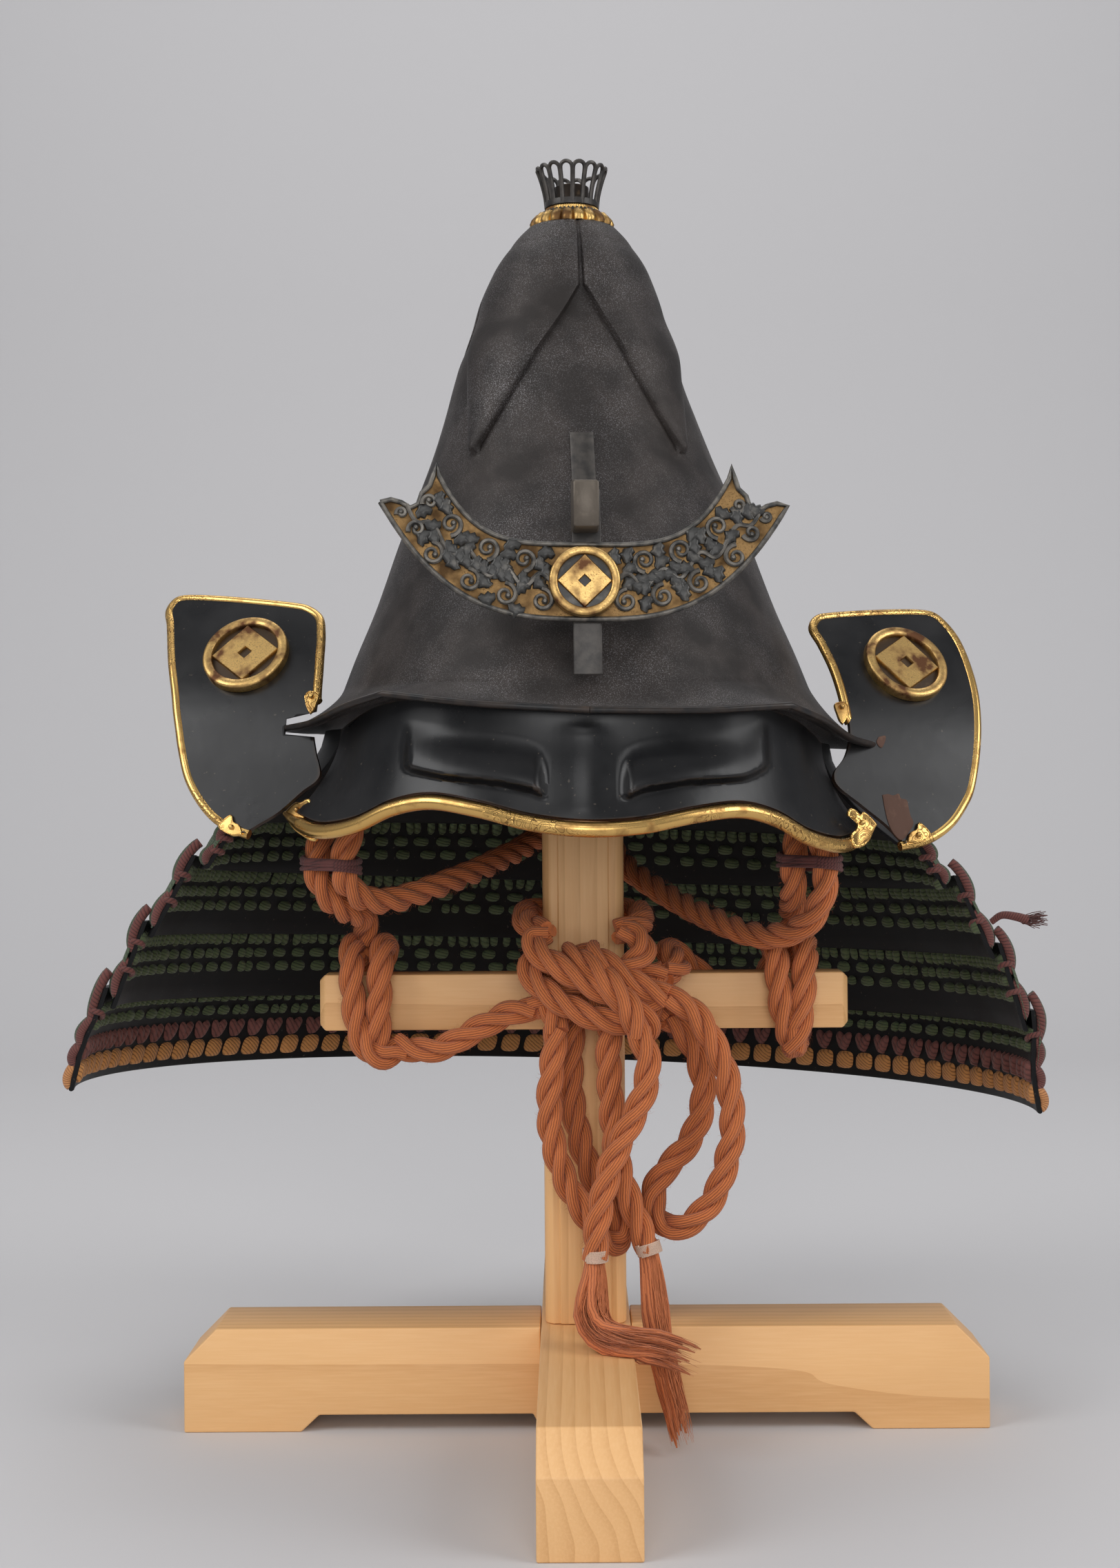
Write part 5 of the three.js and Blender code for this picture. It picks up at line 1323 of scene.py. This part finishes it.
def add_visor():
    count = 170
    top = even_run(smooth_run([Vector(p) * MM for p in mirrored(VISOR_TOP)], 1 * MM), 1 * MM)
    low = even_run(smooth_run([Vector(p) * MM for p in mirrored(VISOR_RIM)], 1 * MM), 1 * MM)

    def at(run, i):
        return run[round(i / count * (len(run) - 1))]

    grid = []
    for i in range(count + 1):
        a, b = at(top, i).copy(), at(low, i).copy()
        a.z += 1.6 * MM
        b.z += (RIM_RADIUS + 1.1) * MM
        grid.append([visor_point(a, b, v / 56) for v in range(57)])
    form = Form()
    add_plate(form, grid, 2.4 * MM)
    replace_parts(form.piece("visor_plate", "lacquer", placed=LOWER), "visor")
    rim = Form()
    ends = [(-RIM_END[0], RIM_END[1], RIM_END[2])] + mirrored(VISOR_RIM) + [RIM_END]
    line = smooth_run([Vector(p) * MM for p in ends], 1.2 * MM)
    add_tube(rim, line, lambda t: (RIM_RADIUS + 0.1) * MM * min(1, 0.35 + 16 * min(t, 1 - t)), 14,
             scale=(1.2 * MM, 1 / 14))
    inverse = LOWER.inverted()
    for outline, rivet in ((HOOK_LEAF_LEFT, (-120.2, -65.5, 276.7)),
                           (HOOK_LEAF_RIGHT, (116.8, -66.5, 269.6))):
        side = -1 if rivet[0] < 0 else 1
        out = Vector((0.5 * side, -0.82, 0.25)).normalized()
        add_ornament(rim, outline, Vector(rivet) * MM, out, inverse)
    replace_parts(rim.piece("visor_rim_gilt", "gilt_engraved", placed=LOWER), "visor_rim")


def add_ornament(form, outline, rivet, out, into=None, thickness=0.9):
    """A flat pierced leaf with a domed face and a rivet, standing in a plane that faces out."""
    across = Vector((0, 0, 1)).cross(out).normalized()
    up = across.cross(out) * -1
    if up.z < 0:
        up = -up
    points = smooth_run([Vector((x, 0, z)) for x, z in outline + outline[:1]], 0.7)[:-1]
    centre = Vector((sum(p.x for p in points), 0, sum(p.z for p in points))) / len(points)
    rings = []
    for shrink, height in ((1.0, -0.4), (1.0, thickness * 0.6), (0.95, thickness * 0.95),
                           (0.88, thickness), (0.84, thickness * 0.7), (0.1, thickness * 0.8)):
        ring = []
        for p in points:
            q = centre + (p - centre) * shrink
            ring.append(rivet + (across * q.x + up * q.z + out * height) * MM)
        rings.append(ring)
    start = len(form.points)
    form.add_grid(rings, closed_columns=True, caps=True, scale=(0.002, 0.1))
    add_pad(form, rivet + out * thickness * 0.8 * MM, across, up, out, (2.7, 2.7, 1.6), rings=3,
            sides=12)
    if into is not None:
        form.points[start:] = [into @ p for p in form.points[start:]]


# ---- the turned-back ears ------------------------------------------------------------------------
# Rows from the lower tip up: x and z of the inner and of the outer edge.
EAR_LEFT = [
    (-140, 262, -141.5, 262), (-133.8, 266.1, -149.9, 264.7), (-125.8, 271.2, -157, 268.8),
    (-115.7, 280.5, -163.5, 275.5),
    (-108.6, 287, -169.5, 285), (-111, 298, -173.6, 298), (-112.6, 306, -175.5, 306),
    (-112.4, 313, -177.4, 314),
    (-112, 320, -179, 322), (-112.4, 336.6, -182.2, 335.6), (-112.9, 351, -185.5, 354),
    (-114.5, 359, -187, 361.5),
    (-119.9, 363.1, -184.5, 366.5), (-125, 364.3, -181, 367.8),
]
EAR_RIGHT = [
    (136.5, 265.2, 138.5, 264.6), (129.6, 272.3, 150.9, 267.5), (117.2, 281.7, 161.7, 274.5),
    (106.4, 290.4, 168.6, 283.5),
    (105.9, 294.8, 171.5, 289), (111, 301.8, 174.6, 301), (113.6, 310, 176.2, 309.9),
    (113.6, 317.7, 177.2, 318),
    (111.6, 330.1, 177.6, 330), (108.7, 341.2, 176.4, 341), (104.1, 353, 172.8, 355.8),
    (100.9, 361, 169, 364),
    (103.5, 365.5, 163, 370), (109, 367, 157, 371),
]
EAR_NOTCH = [(126.5, 304.6), (126.5, 311.2), (95, 319.5), (95, 302.5)]
PATCH = [
    (128.9, 285.7), (131.6, 286.2), (133.7, 285.6), (136.4, 286.5), (137.2, 284.5), (139.8, 283.9),
    (140.6, 280.6),
    (141.3, 277.3), (142.5, 274.1), (140.1, 269.9), (136.9, 266.8), (133.9, 269), (131.5, 273),
    (130, 278.7),
]
CHIP = [(128.4, 310.7), (131.7, 311.2), (129.4, 305.9), (127.3, 308.4)]
EAR_MEDAL_AT = {"left": (-146.5, 338.6), "right": (143.3, 343.1)}


def ear_point(x, z, forward=0.0):
    rise = z - 290
    y = -62 + 0.28 * (abs(x) - 109) + 0.35 * rise + (0.0035 * rise * rise if rise > 0 else 0)
    slope = 0.35 + (0.007 * rise if rise > 0 else 0)
    normal = Vector((0.28 * math.copysign(1, x), -1, slope)).normalized()
    return (Vector((x, y, z)) + normal * forward) * MM


def cut_away(piece, cutter):
    tool = piece.modifiers.new("cut", "BOOLEAN")
    tool.operation = "DIFFERENCE"
    tool.object = cutter
    tool.solver = "EXACT"
    graph = bpy.context.evaluated_depsgraph_get()
    mesh = bpy.data.meshes.new_from_object(piece.evaluated_get(graph))
    piece.modifiers.clear()
    piece.data = mesh
    bpy.data.objects.remove(cutter)


def add_ear(side):
    sign = -1 if side == "left" else 1
    inset = 1.9 * sign
    rows = [(a + inset, b - 1.8 * step((b - 348) / 14), c - inset, d - 1.8 * step((d - 350) / 14))
            for a, b, c, d in (EAR_LEFT if side == "left" else EAR_RIGHT)]
    inner = smooth_run([Vector((a, 0, b)) for a, b, _, _ in rows], 0.9)
    outer = smooth_run([Vector((c, 0, d)) for _, _, c, d in rows], 0.9)
    count = 110

    def at(run, i):
        return run[round(i / count * (len(run) - 1))]

    grid = []
    for i in range(count + 1):
        a, b = at(inner, i), at(outer, i)
        line = [a.lerp(b, t / 40) for t in range(41)]
        grid.append([ear_point(p.x, p.z) for p in (line if sign > 0 else line[::-1])])
    form = Form()
    add_plate(form, grid, 2.4 * MM)
    plate = form.piece("ear_plate_" + side, "lacquer", placed=LOWER)
    cutter = Form()
    add_prism(cutter, [(sign * x, z) for x, z in EAR_NOTCH], -90, -20)
    tool = cutter.piece("notch_" + side, "lacquer", placed=LOWER)
    cut_away(plate, tool)
    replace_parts(plate, "ear_" + side)
    rim = Form()
    inner_edge = [(a, b) for a, b, _, _ in rows if b > 316]
    line = [(inner_edge[0][0] - sign * 0.4, 319.5)] + inner_edge + [(c, d)
                                                                    for _, _, c, d in reversed(rows)]
    run = smooth_run([ear_point(x, z, -1.2) for x, z in line], 1.0 * MM)
    add_tube(rim, run, 2.1 * MM, 12, scale=(1.0 * MM, 1 / 12))
    inverse = LOWER.inverted()
    notch_at, tip_at = (((-115.3, 324.4), (-148.1, 269.3)) if side == "left"
                        else ((112.2, 318.5), (142.4, 263.8)))
    for outline, (x, z) in ((NOTCH_LEAF, notch_at), (TIP_LEAF, tip_at)):
        shape = [(-sign * px, pz) for px, pz in outline]
        near = inverse @ (Vector((x, -60, z)) * MM)
        spot = ear_point(near.x / MM, near.z / MM, 0.9)
        out = (ear_point(near.x / MM, near.z / MM, 1.9) - spot).normalized()
        add_ornament(rim, shape, spot, out)
    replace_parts(rim.piece("ear_rim_gilt_" + side, "gilt_engraved", placed=LOWER), "ear_rim_" + side)
    x, z = EAR_MEDAL_AT[side]
    out = (ear_point(x, z, 1) - ear_point(x, z)).normalized()
    medal = Form()
    across = Vector((1, 0, 0))
    across = (across - out * across.dot(out)).normalized()
    add_medallion(medal, ear_point(x, z, 0.2), across, out.cross(across) * -1, out,
                  (19.2, 4.2, 3.2, 1.2, 2.6))
    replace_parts(medal.piece("ear_badge_" + side, "gilt_worn", placed=LOWER),
                "ear_medallion_" + side)
    recess = Form()
    add_pad(recess, ear_point(x, z, 1.5), across, out.cross(across) * -1, out, (31, 31, 0.4),
            rings=2, sides=48)
    recess.piece("ear_badge_recess_" + side, "gilt_dark", placed=LOWER)
    if side == "right":
        add_worn_patches()


def add_worn_patches():
    """Where the lacquer of the right ear has gone and the brown base shows."""
    form = Form()
    for outline in (PATCH, CHIP):
        points = smooth_run([Vector((x, 0, z)) for x, z in outline + outline[:1]], 0.8)[:-1]
        centre = sum(points, Vector()) / len(points)
        rings = []
        for shrink, height in ((1.0, -0.3), (1.0, 0.25), (0.95, 0.4), (0.6, 0.42), (0.1, 0.42)):
            spots = [centre + (p - centre) * shrink for p in points]
            rings.append([ear_point(q.x, q.z, height) for q in spots])
        form.add_grid(rings, closed_columns=True, caps=True)
    form.piece("worn_patches", "worn_patch", placed=LOWER)


def add_prism(form, outline, y0, y1):
    """A flat shape of (x, z) points from y0 back to y1."""
    rings = [[Vector((x, y, z)) * MM for x, z in outline] for y in (y0, y1)]
    form.add_grid(rings, closed_columns=True, caps=True)


def add_medallion(form, centre, across, up, out, sizes):
    """A ring round a lozenge with a square hole, on a sunk disc."""
    radius, band, hole, base, rise = sizes
    flat = base * 0.9
    high = base + rise
    profile = [
        (0.2, flat), (radius - band, flat), (radius - band, high - 0.5),
        (radius - band + 0.5, high), (radius - 0.9, high),
        (radius - 0.25, high - 0.35), (radius, high - 1.1), (radius, -0.6), (0.2, -0.6),
    ]
    rings = []
    for k in range(72):
        a = 2 * math.pi * k / 72
        ray = across * math.cos(a) + up * math.sin(a)
        rings.append([centre + (ray * r + out * h) * MM for r, h in profile])
    form.add_grid(rings, closed_rows=True, closed_columns=True)
    reach = radius - band + 0.1
    loops = ((hole, flat), (hole, high - 0.9), (hole + 0.3, high - 0.6), (reach - 0.5, high - 0.6),
             (reach, high - 1.0), (reach, flat))
    rings = []
    for k in range(4):
        a = math.pi / 2 * k
        ray = across * math.cos(a) + up * math.sin(a)
        rings.append([centre + (ray * r + out * h) * MM for r, h in loops])
    form.add_grid(rings, closed_rows=True, closed_columns=True)


# ---- the crest -----------------------------------------------------------------------------------
CRESCENT_END = [(76.3, 33.5), (72, 32.3), (68.6, 30.2), (66, 31.5), (64.6, 36), (61.5, 39),
                (60.2, 43), (58.4, 48.5)]


def crescent_low(x):
    return -15 + 47 * (abs(x) / 81) ** 3.04


def crescent_top(x):
    return 16 + 27 * (abs(x) / 57) ** 4.2


def crescent_outline():
    low = [(x, crescent_low(x)) for x in (-81 + 162 * k / 60 for k in range(61))]
    top = [(x, crescent_top(x)) for x in (57 - 114 * k / 44 for k in range(45))]
    left = [(-x, z) for x, z in reversed(CRESCENT_END)]
    return low + CRESCENT_END + top + left


def add_leaf(form, base, angle, length, width, depth=1.3):
    """A small lobed leaf in relief, with a groove down the middle."""
    ahead = Vector((math.cos(angle), 0, math.sin(angle)))
    side = Vector((-ahead.z, 0, ahead.x))
    rows = []
    for i in range(11):
        t = i / 10
        half = width / 2 * math.sin(math.pi * min(1,
                                                  0.06 + 0.94 * t)) ** 0.6 * (1 + 0.22
                                                                              * math.cos(2
                                                                                         * math.pi
                                                                                         * 2.5 * t))
        curve = side * (0.16 * length * math.sin(math.pi * t))
        row = []
        for j in range(9):
            s = j / 4 - 1
            high = depth * (1 - abs(s) ** 2.2) ** 0.6 * (0.55 + 0.45 * math.sin(math.pi * t))
            high -= 0.35 * math.exp(-((s / 0.16) ** 2)) * math.sin(math.pi * t)
            row.append((base + ahead * (length * t) + curve + side * (half * s)
                        - Vector((0, high, 0))) * MM)
        rows.append(row)
    form.add_grid(rows)


def add_curl(form, x, z, radius, start, sweep):
    """A stem that winds in to a bud."""
    points = []
    for k in range(26):
        t = k / 25
        a = math.radians(start + sweep * t)
        r = radius * (1 - 0.76 * t ** 0.85)
        points.append(Vector((x + r * math.cos(a), -0.8, z + r * math.sin(a))) * MM)
    add_tube(form, points, lambda t: mix(1.1, 0.7, t) * MM, 6)
    face = (Vector((1, 0, 0)), Vector((0, 0, 1)), Vector((0, -1, 0)))
    add_pad(form, points[-1] + Vector((0, -0.3, 0)) * MM, *face, (2.6, 2.6, 1.1), rings=2, sides=8)


def inside_crescent(x, z, margin):
    top = min(crescent_top(x), 47 - 1.1 * (abs(x) - 57) if abs(x) < 66 else 31)
    return abs(x) < 78 - margin and crescent_low(x) + margin < z < top - margin and abs(x) > 12


def add_crest():
    ground = Form()
    add_prism(ground, crescent_outline(), 0, 1.5)
    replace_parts(ground.piece("crest_ground", "gilt_ground", smooth=False, placed=CREST),
                "crest_crescent")
    scroll = Form()
    outline = [Vector((x, 0, z)) for x, z in crescent_outline()]
    inner = []
    for i, p in enumerate(outline):
        ahead = (outline[(i + 1) % len(outline)] - outline[i - 1]).normalized()
        inner.append((p + Vector((-ahead.z, 0, ahead.x)) * 0.55 + Vector((0, -0.5, 0))) * MM)
    add_tube(scroll, inner + inner[:1], 1.05 * MM, 8, caps=False)
    for side in (-1, 1):
        def middle(x):
            return (crescent_low(x) + min(crescent_top(x), crescent_low(x) + 33)) / 2

        stem = []
        for k in range(60):
            x = 13 + 57 * k / 59
            stem.append(Vector((side * x, -0.8,
                                middle(x) + 3.0 * math.sin((x - 13) * math.pi / 7.2))) * MM)
        add_tube(scroll, stem, lambda t: mix(1.15, 0.9, t) * MM, 6)
        taken = []
        for k in range(7):
            x = 16.6 + 7.2 * k
            up = 1 if k % 2 else -1
            room = (min(crescent_top(x), crescent_low(x) + 33) - crescent_low(x)) / 2
            radius = min(4.9, room * 0.34)
            z = middle(x) + up * (room - radius - 2.6)
            add_curl(scroll, side * x, z, radius, -90 * up, -side * up * 470)
            taken.append((side * x, z, radius))
        for x, z, radius in ((66, 21, 3.6), (61, 32, 3.2), (72, 27.5, 2.2)):
            add_curl(scroll, side * x, z, radius, 200, side * 440)
            taken.append((side * x, z, radius))
        for row in range(10):
            for k in range(20):
                x = side * (13.5 + 3.3 * k + 1.6 * (row % 2))
                z = crescent_low(x) + 2.6 + 3.3 * row
                angle = (0.7 if (k + row) % 2 else 2.3) * side + (0 if side > 0
                                                                  else math.pi) + 0.9 * math.sin(3
                                                                                                 * k + 2 * row)
                tip = (x + 6 * math.cos(angle), z + 6 * math.sin(angle))
                centre = (x + 3 * math.cos(angle), z + 3 * math.sin(angle))
                near = min(math.hypot(centre[0] - a, centre[1] - b) - r for a, b, r in taken)
                if near < 1.3 or not (inside_crescent(x, z, 1.6) and inside_crescent(*tip, 1.6)):
                    continue
                add_leaf(scroll, Vector((x, -0.5, z)), angle, 7.0, 5.6, 1.6)
                taken.append((*centre, 1.5))
    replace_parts(scroll.piece("crest_openwork", "patina", placed=CREST), "crest_scroll")
    badge = Form()
    add_medallion(badge, Vector((0, -2.6, 0)) * MM, Vector((1, 0, 0)), Vector((0, 0, 1)),
                  Vector((0, -1, 0)), (14, 3.3, 2.4, 1.0, 2.2))
    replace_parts(badge.piece("crest_badge", "gilt_worn", placed=CREST), "crest_medallion")
    recess = Form()
    add_pad(recess, Vector((0, -3.7, 0)) * MM, Vector((1, 0, 0)), Vector((0, 0, 1)),
            Vector((0, -1, 0)), (22.4, 22.4, 0.4), rings=2, sides=48)
    recess.piece("crest_badge_recess", "patina", placed=CREST)


# ---- the fitting on top of the bowl --------------------------------------------------------------
def ring_point(radius, a, z):
    return Vector((radius * math.cos(a) - 0.4, radius * math.sin(a), z - TOP_SETTLE)) * MM


def add_top_fitting():
    lobed = Form()
    rings = []
    for k in range(240):
        a = 2 * math.pi * k / 240
        bulge = abs(math.sin(10 * a)) ** 0.55
        profile = [
            (8.3, 541.0), (16.6 + 2.3 * bulge, 540.6), (16.7 + 2.6 * bulge, 541.9),
            (16.2 + 2.2 * bulge, 543.9),
            (14.9 + 1.3 * bulge, 545.1 + 1.2 * bulge), (13.0 + 0.3 * bulge, 546.2 + 0.7 * bulge),
            (11.5, 546.8), (8.3, 546.7),
        ]
        rings.append([ring_point(r, a, z) for r, z in profile])
    lobed.add_grid(rings, closed_rows=True, closed_columns=True)
    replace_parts(lobed.piece("scalloped_ring", "gilt", placed=HELMET), "top_ring_lobed")
    beads = Form()
    for k in range(44):
        a = 2 * math.pi * k / 44
        out = Vector((math.cos(a), math.sin(a), 0))
        along = Vector((-out.y, out.x, 0))
        face = (out * 0.7 + Vector((0, 0, 0.7))).normalized()
        add_pad(beads, ring_point(12.9, a, 546.9), along, face.cross(along) * -1, face,
                (1.7, 1.9, 0.9), rings=2, sides=8)
    beads.piece("dark_beads", "patina", placed=HELMET)
    ribbed = Form()
    rings = []
    for k in range(288):
        a = 2 * math.pi * k / 288
        rib = 0.32 * (k % 4 in (1, 2))
        rings.append([ring_point(r, a, z) for r,
                      z in ((8.3, 546.9), (11.5 + rib, 546.9), (12 + rib, 548), (11.5 + rib, 549.2),
                            (8.3, 549.3))])
    ribbed.add_grid(rings, closed_rows=True, closed_columns=True)
    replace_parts(ribbed.piece("ribbed_ring", "gilt", placed=HELMET), "top_ring_beaded")
    tube = Form()
    rings = []
    for k in range(48):
        a = 2 * math.pi * k / 48
        rings.append([ring_point(r, a, z) for r,
                      z in ((6.2, 531), (7.8, 531), (7.8, 559), (7.5, 559.3), (6.5, 559.3),
                            (6.2, 559))])
    tube.add_grid(rings, closed_rows=True, closed_columns=True)
    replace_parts(tube.piece("inner_tube", "bronze", placed=HELMET), "top_tube")
    basket = Form()

    def wall_at(t, a):
        return ring_point(mix(11.4, 15.6, t ** 1.6), a, mix(549.6, 567.2, t))

    loops = 16
    for k in range(loops):
        centre, half = 2 * math.pi * (k + 0.5) / loops, math.pi / loops * 0.93
        path = [(0, -half), (0.3, -half), (0.6, -half), (0.8, -half)]
        path += [(0.84 + 0.16 * math.sin(math.pi * s / 8),
                  -half * math.cos(math.pi * s / 8)) for s in range(1, 8)]
        path += [(0.8, half), (0.6, half), (0.3, half), (0, half)]
        line = smooth_run([wall_at(t, centre + a) for t, a in path], 0.8 * MM)
        add_tube(basket, line, 0.92 * MM, 7)
    rings = []
    for k in range(64):
        a = 2 * math.pi * k / 64
        rings.append([ring_point(r, a, z) for r,
                      z in ((10.4, 549.6), (12.2, 549.6), (12.3, 551.2), (12.1, 552.2),
                            (10.9, 552.2))])
    basket.add_grid(rings, closed_rows=True, closed_columns=True)
    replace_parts(basket.piece("looped_basket", "dark_steel", placed=HELMET), "top_basket")


# ---- pieces with their edges softened ------------------------------------------------------------
def add_softened(name, node, finish, width):
    """The node's own solid with a small round on each edge."""
    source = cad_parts[node]
    mesh = source.data.copy()
    mesh.transform(source.matrix_world)
    work = bmesh.new()
    work.from_mesh(mesh)
    bmesh.ops.remove_doubles(work, verts=work.verts, dist=1e-6)
    bmesh.ops.dissolve_limit(work, angle_limit=math.radians(2), verts=work.verts, edges=work.edges)
    edges = [e for e in work.edges if e.is_manifold and e.calc_face_angle(0) > math.radians(20)]
    bmesh.ops.bevel(work, geom=edges, offset=width * MM, segments=3, profile=0.5, affect="EDGES",
                    clamp_overlap=True)
    work.to_mesh(mesh)
    work.free()
    mesh.materials.clear()
    mesh.materials.append(FINISH[finish])
    mesh.polygons.foreach_set("use_smooth", [True] * len(mesh.polygons))
    mesh.set_sharp_from_angle(angle=math.radians(35))
    piece = bpy.data.objects.new(name, mesh)
    bpy.context.scene.collection.objects.link(piece)
    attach(piece, "root")
    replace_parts(piece, node)
    return piece


def add_stand():
    add_softened("cross_beam", "stand_cross_beam", "wood_x", 0.8)
    add_softened("front_back_beam", "stand_front_back_beam", "wood_y", 0.8)
    add_softened("post", "stand_post", "wood_z", 0.7)
    add_softened("crossbar", "stand_crossbar", "wood_x", 0.7)
    add_softened("prong", "crest_prong", "dark_steel", 0.4)
    hook = Form()
    sections = []
    for y, grow in ((-133.2, -0.5), (-132.8, 0), (-119, 0.4), (-112, 0.4)):
        low, high, half = (387.5 - (y + 133) * 0.06 - grow, 405.6 + (y + 133) * 0.12 + grow,
                           4.9 + grow)
        sections.append([Vector((-0.5 + x * half, y, z)) * MM for x, z in (
            (-0.86, low), (0.86, low), (1, low + 0.7), (1, high - 0.7), (0.86, high), (-0.86, high),
            (-1, high - 0.7), (-1, low + 0.7))])
    hook.add_grid(sections, closed_columns=True, caps=True)
    arm = [[Vector((x, y, z)) * MM for x,
            z in ((-3.4, 391.2), (2.4, 391.2), (2.4, 399.8), (-3.4, 399.8))] for y in (-113, -78)]
    hook.add_grid(arm, closed_columns=True, caps=True)
    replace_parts(hook.piece("hook", "brown_steel", placed=HELMET), "crest_hook")
    strip = Form()
    rows = []
    for k in range(20):
        z = 392 + 43 * k / 19
        rows.append([oval_point(z, math.degrees(x / curve_at(BOWL_PROFILE, z)), out - settled(z))
                     for x, out in ((-3.2, -0.8), (-3.2, 1.6), (-2.7, 2.1), (6.2, 2.1), (6.7, 1.6),
                                    (6.7, -0.8))])
    strip.add_grid(rows, closed_columns=True, caps=True)
    strip.piece("hook_strip", "dark_steel", placed=HELMET)


add_camera()
add_studio()
ropes = add_ropes()
hitch_left = add_turns("hitch_left", "rope_hitch_left", HITCH_LEFT, 3)
hitch_right = add_turns("hitch_right", "rope_hitch_right", HITCH_RIGHT, 5)
knot = add_turns("knot", "rope_knot", KNOT, 7)
binding_left = add_binding("binding_left", "rope_binding_left",
                           [(-101.8, -57.3, 253), (-114.3, -46.9, 253)])
binding_right = add_binding("binding_right", "rope_binding_right",
                            [(102.5, -58.4, 253), (90.7, -46.6, 253)])
whipping_left = add_whipping("whipping_left", (4, -49, 87), (0, 0, -1))
whipping_right = add_whipping("whipping_right", (26.6, -37.6, 87), (0.3, -0.15, -1))
tassel_left = add_tassel("tassel_left_yarn", "tassel_left",
                         [(4, -49, 83), (4, -50, 76), (3, -53, 67), (3, -57, 59),
    (7, -61, 53.5), (16, -65, 51), (28, -66, 49.5), (38, -65, 46), (47, -62, 41)], 6.5,
    on_front_beam, 260, 11)
tassel_right = add_tassel("tassel_right_yarn", "tassel_right",
                          [(27.6, -38, 83), (29, -39.5, 74), (30, -41.5, 64),
    (31, -43, 54), (32.5, -45, 42), (35, -48, 30), (38, -52, 19), (40, -55, 10), (42, -57, 3.5)],
    4.6, lambda p: 0.0, 240, 12)
add_neck_guard()
add_bowl()
add_visor()
add_ear("left")
add_ear("right")
add_crest()
add_top_fitting()
add_stand()
